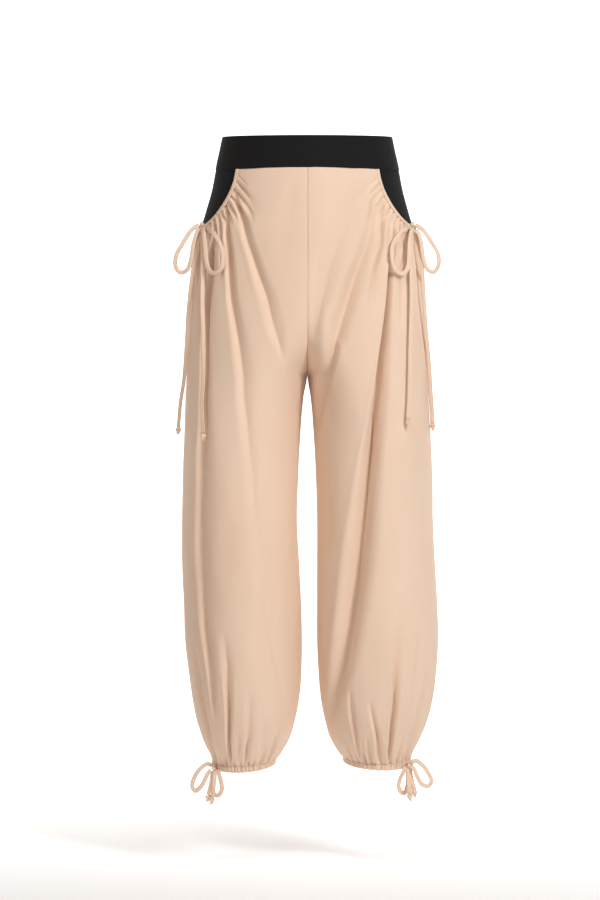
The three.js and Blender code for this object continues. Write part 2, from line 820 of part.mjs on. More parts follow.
// The bow's knot sits on the front casing of the hip, just ahead of the opening's foot, or on the ankle ring.
function bowKnotPlace(leg, level) {
  const [wide, deep] = BOW_KNOT;
  if (level === "hip") {
    const at = alongOpening(FRONT, radians(HIP_BOW_TURN), CASING_WIDTH / 2);
    const reach = Math.hypot(wide * Math.cos(at.angle), deep * Math.sin(at.angle));
    return onForm(leg, at.angle, at.z, PINCHED * CASING_PROUD + 2 * SEAM + reach);
  }
  const angle = radians(ANKLE_BOW_ANGLE);
  const reach = Math.hypot(wide * Math.cos(angle), deep * Math.sin(angle));
  const z = ringLow(leg, FRONT, angle) + ANKLE_BOW_UP * RING_HEIGHT;
  return ringPoint(leg, FRONT, angle, z, RING_PROUD + SEAM + reach);
}

const PEACH = "#e6c4a5";
const TIE_PEACH = "#e9c8aa";
const BLACK = "#121214";
const crepe = () => new THREE.MeshStandardMaterial({ color: PEACH, roughness: 0.78, metalness: 0 });
const tieCloth = () => new THREE.MeshStandardMaterial({ color: TIE_PEACH, roughness: 0.72, metalness: 0 });
const knit = () => new THREE.MeshStandardMaterial({ color: BLACK, roughness: 0.85, metalness: 0 });

const trousers = new THREE.Group();

function addPiece(name, geometry, material, at = [0, 0, 0]) {
  const piece = new THREE.Mesh(geometry, material);
  piece.name = name;
  piece.position.set(...at);
  trousers.add(piece);
}

for (const face of [FRONT, BACK]) {
  addPiece("waistband_" + face.name, waistband(face), knit());
}
for (const leg of [LEFT, RIGHT]) {
  addPiece("hip_panel_" + leg.name, hipPanel(leg), knit());
  for (const face of [FRONT, BACK]) {
    addPiece(`leg_${face.name}_${leg.name}`, legPanel(leg, face), crepe());
    addPiece(`hip_casing_${face.name}_${leg.name}`, hipCasing(leg, face), crepe());
  }
  addPiece("ankle_casing_" + leg.name, ankleCasing(leg), crepe());
  for (const level of ["hip", "ankle"]) {
    addPiece(`${level}_bow_knot_${leg.name}`, knot(BOW_KNOT), tieCloth(), bowKnotPlace(leg, level).toArray());
  }
}
for (const [name, strand] of Object.entries(TIES)) {
  addPiece(name, tie(strand), tieCloth());
  if (!name.includes("tail")) continue;
  const [x, y, z] = strand.route[strand.route.length - 1];
  addPiece(name.replace("tail", "end_knot"), knot(END_KNOT), tieCloth(), [x, y, z - END_KNOT[2] - SEAM]);
}

export default trousers;
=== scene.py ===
"""Balloon trousers, filled out as if worn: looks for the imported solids.

Lengths in the tables are millimetres, and meshes are made in metres. The front faces -Y, and left and right
are as seen from the front. A place on the cloth is an angle round a leg's oval, 0 at the side and growing
towards the front (or the back) middle, and a height.
"""

import bpy
import numpy as np
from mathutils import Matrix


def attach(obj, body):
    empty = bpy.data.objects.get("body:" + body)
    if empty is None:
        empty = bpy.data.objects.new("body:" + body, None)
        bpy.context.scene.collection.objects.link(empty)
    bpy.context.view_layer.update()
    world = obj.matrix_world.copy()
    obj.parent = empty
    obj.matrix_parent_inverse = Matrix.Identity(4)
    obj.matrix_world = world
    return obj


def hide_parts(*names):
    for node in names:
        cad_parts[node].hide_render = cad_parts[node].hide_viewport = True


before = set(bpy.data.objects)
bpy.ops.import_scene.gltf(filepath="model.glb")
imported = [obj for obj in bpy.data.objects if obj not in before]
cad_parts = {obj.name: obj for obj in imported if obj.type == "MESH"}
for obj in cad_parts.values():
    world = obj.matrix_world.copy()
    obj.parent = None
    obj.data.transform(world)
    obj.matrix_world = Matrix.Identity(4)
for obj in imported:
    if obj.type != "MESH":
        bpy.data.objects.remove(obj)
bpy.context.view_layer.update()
MM = 0.001

# Cloth and seams
CREPE_CLOTH, KNIT_CLOTH, SEAM, SEWN, TUCK = 1.5, 1.2, 0.3, 0.05, 0.35
# Where folds fade out beside a seam, and the height of the cloth's slow waves
SEAM_FADE, WAVE_SIZE = 14, 1.1
# Waistband
BAND_TOP, BAND_LOW, BAND_TOP_DIP, BAND_LOW_DIP, BAND_LOW_LEVEL, BAND_PROUD = 24, -28, 8.6, 6.6, 2.2, 0.6
# Hip opening and its casing
OPENING_FOOT, FRONT_CORNER, BACK_CORNER, OPENING_DROP = 8, 40.3, 42, 89
CASING_WIDTH, CASING_PROUD, HIP_RADIUS, PANEL_INSET = 6.2, 1.7, 125, 0.4
SLANT, SETTLING, PANEL_SPAN = 1.25, 230, 170
# Share of a leg panel's top edge that lies along the waistband
CORNER_SHARE = 12 / 42
# Rise and legs
HIP_LINE, CROTCH, CROTCH_CURVE, THIGH_LINE, SIDE_SEAM_SETTLED = -125, -351, 5, -480, -330
# Ankles
RING_HEIGHT, RING_PROUD, RING_DEPTH, RING_GATHERS, TURN_IN = 10, 2.0, 44, 28, 34
TURN_REACH, TURN_REACH_MORE, TURN_SAG, TURN_SAG_MORE = 15, 7, 6, 14
# Lengths of a panel's turned-in end and of the rest, and how its gathers spread and puff above the ring
TURNED_LENGTH, PANEL_LENGTH, GATHER_SPREAD, PUFF, PUFF_REACH = 44, 880, 26, 1.6, 24
# A pucker's spread below its casing, and millimetres a degree along the hip opening
PUCKER_SPREAD, OPENING_DEGREE = 60, 1.45
# Ties: width and thickness as drawn, then in metres the width as sewn and the shortest length of a cord
TIE_WIDTH, TIE_THICK, TIE_SEWN_WIDTH, TIE_SHORTEST = 7.0, 2.2, 0.006, 0.0365

# The view that the folds are read in: millimetres a step, where the middle and the waist's top lie in it,
# how far away it is and its height
STEP, VIEW_X, VIEW_Y, VIEW_AWAY, VIEW_Z = 1.575, 307.3, 136.8, 4000.0, -469.0

# Level sections from the waist down, for one leg each side of the middle
SECTION_COLUMNS = ("z", "left_out", "left_in", "right_out", "right_in", "front", "back", "widest")
SECTIONS = np.array([
    (30, 132, 0, 132, 0, 97, 97, 0),
    (0, 138, 0, 138, 0, 98, 99, 1),
    (-28, 144.5, 0, 144.5, 0, 101, 103, 3),
    (-60, 151, 0, 151, 0, 104, 110, 8),
    (-91, 160, 0, 159.5, 0, 106, 117, 12),
    (-107, 165, 0, 164.5, 0, 108, 121, 14),
    (-130, 175, 0, 174, 0, 111, 124, 14),
    (-154, 182, 0, 181, 0, 112, 126, 13),
    (-233, 185, 0, 186, 0, 112, 124, 8),
    (-312, 188, 0, 189.5, 0, 109, 116, 2),
    (-351, 190, 0, 190, 0, 106, 110, 0),
    (-391, 192, 6.8, 191, 5.8, 103, 105, 0),
    (-454, 194, 11.5, 194.5, 10.6, 99, 100, 0),
    (-517, 196, 14.6, 196.5, 13.7, 97, 97, 0),
    (-580, 197.5, 16.2, 198, 15.3, 96, 96, 0),
    (-643, 197, 13, 201, 15.3, 96, 96, 0),
    (-706, 194.5, 9.9, 204.5, 15.3, 97, 97, 0),
    (-769, 192.5, 8.3, 206, 15.3, 98, 98, 0),
    (-832, 184.7, 9.9, 201, 18.4, 95, 95, 0),
    (-863, 180, 13.1, 196.4, 21.6, 91, 91, 0),
    (-895, 173.7, 19.4, 188.5, 27.9, 84, 84, 0),
    (-926, 164.3, 28.8, 175.9, 37.3, 72, 72, 0),
    (-951, 153.2, 43, 161.8, 51.5, 58, 58, 0),
])
ANKLES = {
    "left": dict(middle=99.4, half=49, low=-964, out_dip=3, front_dip=8),
    "right": dict(middle=109.6, half=52, low=-960.5, out_dip=2.5, front_dip=8),
}
# How much the depths in the tables below are raised, how many half widths the side right of a crease is wide,
# and the height of the lip left of it as a share of the depth
FOLD_STRENGTH, PUCKER_STRENGTH, FLANK, LIP = 1.15, 1.6, 2.6, 0.06
# The back's folds mirror the front's, this much shallower
BACK_FOLDS = 0.8
SIGN = {"left": -1, "right": 1, "front": 1, "back": -1}
CORNER = {"front": FRONT_CORNER, "back": BACK_CORNER}

# Long folds of the front: how wide the side left of the crease is, then the crease's stations, each with the
# view's place across and down, the half width and the depth
FOLDS = {
    "left": [
        (2.0, [(237, 178, 4, 0), (241, 186, 4, 1.5), (248, 198, 6, 1.5), (258, 215, 8, 0)]),
        (1.0, [(233, 188, 2.5, 0), (235, 197, 3, 5), (238, 208, 3.5, 7), (244, 228, 5, 8),
               (250.5, 250, 5, 7.5), (257.5, 272, 6, 7.5), (267, 300, 7, 6.5), (272, 320, 7.5, 6),
               (279, 342, 8, 4.5), (286, 368, 9, 0)]),
        (0.8, [(223, 196, 2, 0), (225, 206, 2.5, 5), (226, 230, 4, 9), (228, 250, 4.6, 11),
               (229, 270, 5, 11), (231, 300, 5.6, 8.5), (234.5, 322, 6.5, 7), (238, 345, 7.5, 6),
               (244, 400, 9, 5.5), (248, 430, 10, 5.5), (254, 490, 11, 4), (261, 560, 12, 3.5),
               (268, 610, 12, 4), (277, 660, 12, 3), (286, 715, 12, 0)]),
        (0.5, [(213, 216, 2.5, 0), (213, 232, 3.5, 6), (210, 250, 5, 13), (209, 272, 5.5, 13),
               (205, 300, 8, 14), (203.5, 322, 8, 14), (203, 345, 8.5, 13), (202.5, 385, 9, 11),
               (201.5, 425, 10, 10), (200, 480, 14, 8), (200, 560, 15, 6), (203, 620, 11, 6),
               (208, 660, 8, 7), (212, 700, 6, 5), (215, 722, 5, 0)]),
        (0.8, [(218, 212, 1.6, 0), (219, 222, 2.2, 4), (220, 240, 2.4, 4), (220, 262, 3, 2.5),
               (220, 285, 4, 0)]),
        (0.7, [(201, 230, 3, 0), (200, 245, 3.5, 4), (198, 270, 4, 3), (199, 310, 4, 3), (198, 350, 6, 0)]),
        (0.7, [(194, 232, 3, 0), (193, 248, 4, 6), (191, 275, 4, 5), (189, 300, 5, 3), (187, 330, 5, 0)]),
        (1.0, [(194, 640, 5, 0), (197, 672, 5, 5), (202, 706, 5, 7), (208, 736, 4, 6), (213, 762, 2.5, 3)]),
        (0.8, [(224, 628, 9, 0), (226, 660, 7, 4), (227, 690, 5, 8), (228, 715, 4, 10), (228, 742, 3, 9),
               (229, 764, 2.2, 6)]),
        (1.0, [(250, 690, 7, 0), (250, 712, 6, 3.5), (249, 735, 4.5, 5), (246, 752, 3, 6),
               (245, 766, 2.2, 4)]),
        (1.0, [(268, 716, 6, 0), (265, 734, 6, 3), (261, 750, 4, 3), (258, 764, 3, 3)]),
        (1.0, [(280, 728, 5, 0), (276, 742, 4, 3), (270, 757, 3, 3)]),
        (1.0, [(239, 734, 3, 0), (238, 750, 2.4, 3), (237, 766, 2, 3)]),
        (1.0, [(218, 738, 3, 0), (220, 752, 2.4, 3.5), (222, 765, 2, 3)]),
    ],
    "right": [
        (2.5, [(376, 174, 4, 0), (366, 190, 6, 2.5), (352, 212, 8, 3.5), (341, 240, 9, 4), (330, 268, 10, 5),
               (323, 296, 10, 5), (318, 318, 10, 4), (312, 344, 10, 0)]),
        (2.0, [(378, 184, 2.5, 0), (375, 200, 3.5, 4), (372, 225, 4.5, 5), (367, 250, 5, 6.5),
               (359, 272, 6, 10), (350, 300, 7, 12), (343, 320, 7.5, 12), (336, 342, 8, 11),
               (328, 372, 8.5, 9), (321, 402, 9, 7), (317, 430, 9, 3), (315, 452, 8, 0)]),
        (1.0, [(385, 196, 2, 0), (384, 208, 2.6, 5), (383.5, 230, 3.2, 8), (381.5, 250, 3.6, 8),
               (376, 270, 4.2, 7), (373, 298, 6, 4), (370, 325, 8, 0)]),
        (0.9, [(395, 216, 2, 0), (395, 230, 2.6, 8), (394, 250, 3, 14), (391, 270, 3.4, 18),
               (389, 300, 3.6, 20), (387, 325, 4.4, 21), (385, 345, 5.2, 22), (381, 385, 7, 23),
               (375.5, 420, 8.6, 24), (370, 455, 10, 24), (364, 500, 12.5, 24), (356, 560, 15, 24),
               (350, 600, 15, 23), (344, 640, 15, 21), (338, 675, 14, 17), (332, 705, 12, 11),
               (327, 730, 9, 0)]),
        (0.8, [(389, 214, 2, 0), (389, 226, 2.4, 4), (388, 240, 2.4, 4), (387, 252, 3, 0)]),
        (0.8, [(401, 218, 2.4, 0), (401, 230, 3, 5), (405, 250, 3.4, 5), (401, 272, 4, 5), (402, 300, 5, 3),
               (402, 330, 6, 0)]),
        (0.8, [(414, 230, 3, 0), (416, 248, 4, 5), (418, 275, 5, 5), (421, 300, 5, 3), (424, 340, 6, 0)]),
        (2.0, [(325, 440, 10, 0), (327, 480, 12, 2), (330, 530, 11, 2.5), (332, 560, 9, 0)]),
        (1.0, [(398, 600, 8, 0), (398, 640, 6.5, 4), (397, 675, 5, 7), (395, 705, 4, 10), (392, 732, 3.2, 10),
               (390, 762, 2.2, 7)]),
        (1.0, [(420, 625, 7, 0), (418, 655, 6, 3.5), (415, 690, 6, 2), (412, 715, 6, 0)]),
        (1.0, [(429, 664, 5, 0), (426, 686, 6, 4), (420, 712, 6, 5), (413, 736, 4.5, 5), (406, 757, 3, 3)]),
        (1.0, [(370, 700, 4, 0), (373, 720, 3.4, 4), (378, 738, 3.2, 5), (382, 758, 2.6, 5)]),
        (1.0, [(350, 686, 4, 0), (351, 710, 3.6, 4), (355, 735, 3.4, 6), (360, 758, 2.8, 5)]),
        (1.0, [(376, 728, 3, 0), (377, 744, 2.6, 5), (378, 764, 2.2, 5)]),
        (1.0, [(344, 734, 3, 0), (347, 748, 2.8, 4), (351, 762, 2.4, 4)]),
        (1.0, [(367, 736, 3, 0), (368, 750, 2.6, 4), (369, 765, 2.2, 4)]),
        (1.0, [(404, 734, 3, 0), (401, 748, 2.8, 4), (397, 762, 2.4, 4)]),
    ],
}

# Puckers beside a hip casing: degrees round the opening, depth, length and half width
PUCKERS = {
    "left": [(6, 1.2, 22, 1.5), (12, 3, 34, 1.6), (19, 3.6, 60, 1.8), (26, 3.8, 70, 1.9), (32, 3.4, 52, 1.7),
             (37.5, 3, 38, 1.5), (43, 3.2, 46, 1.6), (48.5, 3, 40, 1.5), (54, 3.2, 52, 1.6), (60, 3, 60, 1.8),
             (67, 3.2, 70, 2), (75, 3, 60, 2), (83, 2.6, 50, 2)],
    "right": [(8, 1.4, 20, 1.4), (14, 2.4, 30, 1.5), (20, 2, 24, 1.3), (26, 3.2, 48, 1.6),
              (32, 2.4, 28, 1.4), (38, 3.6, 56, 1.7), (44, 2.8, 32, 1.4), (50, 3, 30, 1.5),
              (55, 2.4, 26, 1.3), (60, 3.4, 48, 1.6), (67, 3.2, 60, 1.8), (75, 3, 60, 2),
              (83, 2.6, 50, 2)],
}

# Ties from the bow's knot, in millimetres; a loop comes back to the knot and a tail ends at its own knot
TIES = {
    "hip_loop_outer_left": [
        (-169.7, -31, -117), (-180, -36, -125), (-195, -40, -148), (-205, -40, -168), (-205, -38, -184),
        (-198, -38, -192), (-188, -42, -189), (-182, -45, -175), (-177, -44, -146), (-170.5, -37, -124)],
    "hip_loop_inner_left": [
        (-161, -33, -118), (-157.6, -35.5, -120.5), (-154.5, -50, -124.5), (-147, -64, -131),
        (-136, -77.5, -148), (-130, -84.5, -169), (-133, -83.5, -189), (-143, -77.5, -196), (-152, -70, -191),
        (-156.5, -64, -175), (-158.5, -60, -151), (-161, -52, -132), (-163.5, -41, -124)],
    "hip_tail_outer_left": [
        (-166.8, -29.4, -120.5), (-168, -29.6, -126), (-169.5, -37, -135), (-173, -42, -158),
        (-180, -44, -204), (-185, -38, -251), (-188.5, -32, -305), (-193, -28, -360), (-198, -26, -391),
        (-202, -24, -434)],
    "hip_tail_inner_left": [
        (-163.6, -34, -121.4), (-162.9, -35.6, -127), (-163.5, -45, -135), (-162, -57.5, -174),
        (-163, -63, -237), (-161, -72.5, -299), (-161, -79, -361), (-163, -81, -392), (-161, -85, -444)],
    "hip_loop_outer_right": [
        (169, -31, -117), (180, -36, -125), (194, -40, -146), (204, -40, -164), (204.5, -38, -181),
        (197, -38, -191.5), (187, -42, -187), (181, -45, -172), (176.8, -46, -144), (171, -40.5, -125.5)],
    "hip_loop_inner_right": [
        (160.3, -33, -118), (157, -35.5, -120.5), (154.5, -50, -124.5), (144, -67.5, -133),
        (132, -80.5, -152), (130.5, -85, -172), (135, -83.5, -189), (146, -75.5, -196.5),
        (155, -68, -188), (157.5, -63.5, -168), (158.5, -60, -147), (161, -52, -131), (163.5, -41, -124)],
    "hip_tail_outer_right": [
        (166.6, -29.3, -121.2), (167.6, -29.6, -126), (170, -38, -136), (176, -42.5, -158),
        (182, -42.5, -236), (185, -38, -282), (189.5, -32, -329), (192.5, -28, -375), (196, -26, -428)],
    "hip_tail_inner_right": [
        (163, -34, -121.4), (162.4, -35.6, -127), (162.5, -45, -135), (161, -57, -160), (161, -67, -237),
        (159, -77.5, -315), (157, -84.5, -392), (155, -88, -422)],
    "ankle_loop_outer_left": [
        (-148.6, -27.8, -962.2), (-157, -30, -960), (-168, -30, -968), (-177, -28, -982),
        (-180, -27, -995), (-176, -27, -1002), (-167, -30, -996), (-160, -32, -984),
        (-155, -32.5, -973.5), (-150.5, -32.5, -968.5)],
    "ankle_loop_inner_left": [
        (-140.2, -30, -968), (-138, -30.5, -976), (-134.5, -28, -990), (-134, -26, -1001),
        (-138.5, -24, -1009), (-145, -23, -1009), (-148, -22.5, -998), (-147, -23, -984),
        (-146.3, -24, -973.5)],
    "ankle_tail_outer_left": [
        (-147.5, -27.9, -970.8), (-148.6, -28, -980), (-150.5, -28.5, -990), (-153, -28.5, -1000),
        (-155, -28.5, -1008)],
    "ankle_tail_inner_left": [
        (-145.5, -30.6, -970.5), (-145.1, -30.7, -979), (-146, -32.5, -992), (-147.5, -33.5, -1003),
        (-149, -33.5, -1012)],
    "ankle_loop_outer_right": [
        (161.1, -28.2, -960.2), (168.5, -30, -954.5), (178, -30, -960), (189, -28, -974), (194, -27, -987),
        (190, -27, -994), (180, -30, -992), (172, -32, -980), (167, -32.5, -968), (162.3, -32.2, -962.2)],
    "ankle_loop_inner_right": [
        (152.8, -31.2, -963.4), (150.5, -32.5, -970.5), (145, -28, -983), (143, -26, -995), (146, -24, -1004),
        (152.5, -23, -1006), (156.5, -22.5, -995), (157, -23.5, -983), (156.8, -25, -972)],
    "ankle_tail_outer_right": [
        (160.4, -27.9, -966.9), (161.4, -28, -975), (163, -28.5, -984), (165.5, -28.5, -994),
        (167.5, -28.5, -1001)],
    "ankle_tail_inner_right": [
        (158, -30.6, -966.6), (157.6, -30.7, -975), (158, -32.5, -985), (159, -33.5, -996),
        (160, -33.5, -1006)],
}


def ease(v):
    """Rises smoothly from 0 to 1 while v does."""
    v = np.clip(v, 0, 1)
    return v * v * (3 - 2 * v)


def smooth_read(zs, values, z):
    """Values at heights z, on a smooth curve through rows that go down."""
    zs, values = np.asarray(zs, float), np.asarray(values, float)
    above, below = np.maximum(np.arange(len(zs)) - 1, 0), np.minimum(np.arange(len(zs)) + 1, len(zs) - 1)
    slope = (values[below] - values[above]) / (zs[below] - zs[above])
    i = np.clip(np.searchsorted(-zs, -np.asarray(z, float), side="left") - 1, 0, len(zs) - 2)
    step = zs[i + 1] - zs[i]
    u = np.clip((z - zs[i]) / step, 0, 1)
    return (values[i] * (1 + 2 * u) * (1 - u) ** 2 + values[i + 1] * u * u * (3 - 2 * u)
            + slope[i] * step * u * (1 - u) ** 2 - slope[i + 1] * step * u * u * (1 - u))


def section(name, z):
    """One column of the sections, read at heights z."""
    return smooth_read(SECTIONS[:, 0], SECTIONS[:, SECTION_COLUMNS.index(name)], z)


class Oval:
    """The ovals of one leg at heights z: egg-shaped, joined at the middle seam above the crotch."""

    def __init__(self, leg, z):
        self.out = section(leg + "_out", z)
        self.inner = np.where(z > CROTCH, 0, np.maximum(0, section(leg + "_in", z)))
        self.widest = section("widest", z)
        self.middle = (self.out + self.inner) / 2 * ease((HIP_LINE - z) / (HIP_LINE - THIGH_LINE))
        fallen = np.clip((HIP_LINE - z) / (HIP_LINE - CROTCH), 0, 1) ** CROTCH_CURVE
        self.seam = np.pi - np.arcsin(np.sqrt(1 - fallen))
        self.slow_seam = np.pi / 2 * (1 + ease((HIP_LINE - z) / (HIP_LINE - THIGH_LINE)))
        self.front = section("front", z) + self.widest
        self.back = section("back", z) - self.widest
        turned = np.maximum(np.abs(np.cos(self.seam)), 1e-9)
        self.inward = np.where(self.middle > 0, (self.middle - self.inner) / turned, 0)


def form(leg, angle, z):
    """Points of the smooth form: angles are positive to the front and negative to the back."""
    o = Oval(leg, z)
    turned = np.cos(angle)
    x = o.middle + np.where(turned > 0, o.out - o.middle, o.inward) * turned
    y = o.widest - np.where(angle > 0, o.front, o.back) * np.sin(angle)
    return np.stack([SIGN[leg] * x, y, z + 0 * x], -1)


def way_out(leg, angle, z):
    """The form's normals."""
    around = form(leg, angle + 0.01, z) - form(leg, angle - 0.01, z)
    up = form(leg, angle, z + 1) - form(leg, angle, z - 1)
    n = np.cross(up, around) * SIGN[leg]
    return n / np.linalg.norm(n, axis=-1, keepdims=True)


def on_form(leg, angle, z, out):
    """Points a given way outside the form."""
    angle, z = np.broadcast_arrays(np.asarray(angle, float), np.asarray(z, float))
    return form(leg, angle, z) + way_out(leg, angle, z) * np.asarray(out)[..., None]


def band_top(angle):
    """Height of the waistband's upper edge, which dips in front."""
    return BAND_TOP - BAND_TOP_DIP * np.sin(angle)


def band_low(angle):
    """Height of the waistband's lower edge."""
    turned = np.sin(np.minimum(np.abs(angle), np.pi / 2))
    return BAND_LOW - np.sign(angle) * BAND_LOW_DIP * (1 - (1 - turned) ** BAND_LOW_LEVEL)


def along_opening(face, turn, inset):
    """Angle and height along the hip opening: turn is 0 at the band corner and a right angle at its foot."""
    foot, sign = np.radians(OPENING_FOOT), SIGN[face]
    reach = np.radians(CORNER[face]) - sign * foot + inset / HIP_RADIUS
    angle = foot + sign * (reach * np.cos(turn) + SEAM / 2 / HIP_RADIUS)
    return angle, band_low(angle) - SEWN - (OPENING_DROP + SEAM - SEWN + inset) * np.sin(turn)


def side_seam(z):
    """The side seam's angle: it starts at the opening's foot and settles at the side."""
    start = BAND_LOW - OPENING_DROP
    return np.radians(OPENING_FOOT) * (1 - ease((start - z) / (start - SIDE_SEAM_SETTLED)))


def top_edge(face, s):
    """Angle, height and lean of a leg panel's top edge, along the waistband and then the hip casing."""
    turn = np.pi / 2 * np.clip((s - CORNER_SHARE) / (1 - CORNER_SHARE), 0, 1)
    angle, z = along_opening(face, turn, CASING_WIDTH - TUCK)
    on_band = s < CORNER_SHARE
    share = np.clip(s / CORNER_SHARE, 0, 1)
    middle = SIGN[face] * np.pi / 2
    band_angle = middle + (angle - middle) * share
    angle = np.where(on_band, band_angle, angle)
    z = np.where(on_band, band_low(band_angle) - SEWN, z)
    return angle, z, SLANT * np.where(on_band, share ** 1.5, np.cos(turn))


def ring_low(leg, face, angle):
    """Height of the ankle ring's lower edge."""
    a = ANKLES[leg]
    return a["low"] - a["out_dip"] * np.cos(angle) - SIGN[face] * a["front_dip"] * np.sin(angle)


def ring_point(leg, face, angle, z, out):
    """A point of the ankle's oval ring, a given way outside it."""
    a = ANKLES[leg]
    x = a["middle"] + (a["half"] + out) * np.cos(angle)
    y = -SIGN[face] * (RING_DEPTH + out) * np.sin(angle)
    return np.stack(np.broadcast_arrays(SIGN[leg] * x, y, z), -1)


def place(leg, face, s, t):
    """Angle and height of panel places: s from the middle seam to the side seam, t from the top edge down."""
    top_angle, top_z, lean = top_edge(face, s)
    low = ring_low(leg, face, np.pi * (1 - s)) + RING_HEIGHT - TUCK + TURN_IN
    z = top_z + (low - top_z) * t
    side = side_seam(top_z)
    start = 1 - (top_angle - side) / (SIGN[face] * Oval(leg, top_z).seam - side)
    u = np.clip((top_z - z) / SETTLING, 0, 1)
    across = start + (s - start) * ease(u) - lean * SETTLING / PANEL_SPAN * u * (1 - u) ** 2
    side, o, inside = side_seam(z), Oval(leg, z), 1 - across
    slow, late = SIGN[face] * o.slow_seam - side, SIGN[face] * (o.seam - o.slow_seam)
    return side + slow * inside + late * inside ** 5, z


def smooth_panel(leg, face, s, t):
    """The panel's smooth form, with its end turned in to the ankle ring where t runs from 1 to 2."""
    angle, z = place(leg, face, s, np.minimum(t, 1))
    points = form(leg, angle, z)
    u = np.clip(t - 1, 0, 1)
    ring_angle = np.pi * (1 - s)
    ring_top = ring_low(leg, face, ring_angle) + RING_HEIGHT - TUCK
    end = ring_point(leg, face, ring_angle, ring_top, 0)
    down = (form(leg, angle, z - 1) - points) * TURN_IN
    inward = ring_point(leg, face, ring_angle, ring_top, -1) - end
    inward *= (TURN_REACH - TURN_REACH_MORE * np.cos(ring_angle))[..., None]
    inward[..., 2] = -TURN_SAG - TURN_SAG_MORE * np.cos(ring_angle)
    u = u[..., None]
    turned = (points * (1 + 2 * u) * (1 - u) ** 2 + end * u * u * (3 - 2 * u)
              + down * u * (1 - u) ** 2 - inward * u * u * (1 - u))
    points = np.where(t[..., None] > 1, turned, points)
    return points


def seen(leg, across, down):
    """Height and share across the leg of a place seen in the view, on the form's front."""
    x_at, z_at = (across - VIEW_X) * STEP, BAND_TOP - (down - VIEW_Y) * STEP
    y = -90.0
    for attempt in range(10):
        k = (VIEW_AWAY + y) / VIEW_AWAY
        x, z = abs(x_at) * k, (z_at - VIEW_Z) * k + VIEW_Z
        o = Oval(leg, np.float64(z))
        reach = o.out - o.middle if x > o.middle else max(o.inward, 1.0)
        share = np.clip((x - o.middle) / reach, -0.999, 0.999)
        y = float(o.widest - o.front * np.sqrt(1 - share * share))
    return z, float((x - o.inner) / (o.out - o.inner))


def groove(b, left_width):
    """A fold's cross-section: a crease at 0, a rounded flank to its right and a shorter one to its left."""
    right = np.clip(1 - b / FLANK, 0, 1) ** 2
    left = np.exp(-(b / left_width) ** 2)
    lip = LIP * np.exp(-((b + 1.9 * left_width) / (0.7 * left_width)) ** 2)
    return lip - np.where(b > 0, right, left)


def fold_depth(leg, face, angle, z):
    """How far the long folds move the cloth in."""
    o = Oval(leg, z)
    radius = (o.out - o.middle + o.front) / 2
    turned = SIGN[face] * angle
    other = {"left": "right", "right": "left"}[leg]
    source = leg if face == "front" else other
    rightward = -1 if source == "left" else 1
    out = np.zeros_like(z)
    for left_width, stations in FOLDS[source]:
        across, down, half, depth = np.array(stations, float).T
        if face == "back":
            across = 2 * VIEW_X - across
            depth = depth * BACK_FOLDS
        places = np.array([seen(leg, a, b) for a, b in zip(across, down)])
        zs, shares = places[:, 0], np.clip(places[:, 1], 0.02, 0.97)
        inside = (z < zs[0]) & (z > zs[-1])
        share = smooth_read(zs, shares, z)
        width = np.maximum(smooth_read(zs, half, z), 1.5)
        deep = FOLD_STRENGTH * np.maximum(smooth_read(zs, depth, z), 0) * inside
        x = o.inner + (o.out - o.inner) * share - o.middle
        reach = np.where(x > 0, o.out - o.middle, np.maximum(o.inward, 1))
        away = (np.arccos(np.clip(x / reach, -1, 1)) - turned) * radius / width
        out += deep * groove(away * rightward, left_width)
    return out


def soft_waves(seed, across, down, size):
    """Slow uneven waves of the cloth, a few millimetres at most, longer down the leg than across it."""
    rng = np.random.RandomState(seed)
    total = np.zeros_like(across)
    for k in range(9):
        wave = rng.uniform(55, 150) / (1 + 0.25 * k)
        tall = rng.uniform(170, 420) / (1 + 0.2 * k)
        total += rng.uniform(0.4, 1) / (1 + 0.3 * k) * np.sin(
            2 * np.pi * (across / wave + down / tall * rng.choice([-1, 1])) + rng.uniform(0, 6.28))
    return total * size / 3


def grid_normals(points):
    """Unit normals of a grid of points."""
    across = np.gradient(points, axis=1)
    along = np.gradient(points, axis=0)
    n = np.cross(across, along)
    return n / np.maximum(np.linalg.norm(n, axis=-1, keepdims=True), 1e-12)


def hem_gathers(leg, face):
    """Gathers round the ankle ring for one panel: place, depth, length and half width."""
    rng = np.random.RandomState({"left": 3, "right": 11}[leg] + {"front": 0, "back": 40}[face])
    count = RING_GATHERS // 2
    places = (np.arange(count) + 0.5 + rng.uniform(-0.22, 0.22, count)) / count
    strong = [(p, rng.uniform(4, 6.5), rng.choice([32, 42, 56, 80]), rng.uniform(1.3, 2.0)) for p in places]
    slight = places + rng.uniform(0.35, 0.65, count) / count
    return strong + [(p, rng.uniform(1.6, 3), rng.choice([20, 27, 36]), rng.uniform(1, 1.5)) for p in slight]


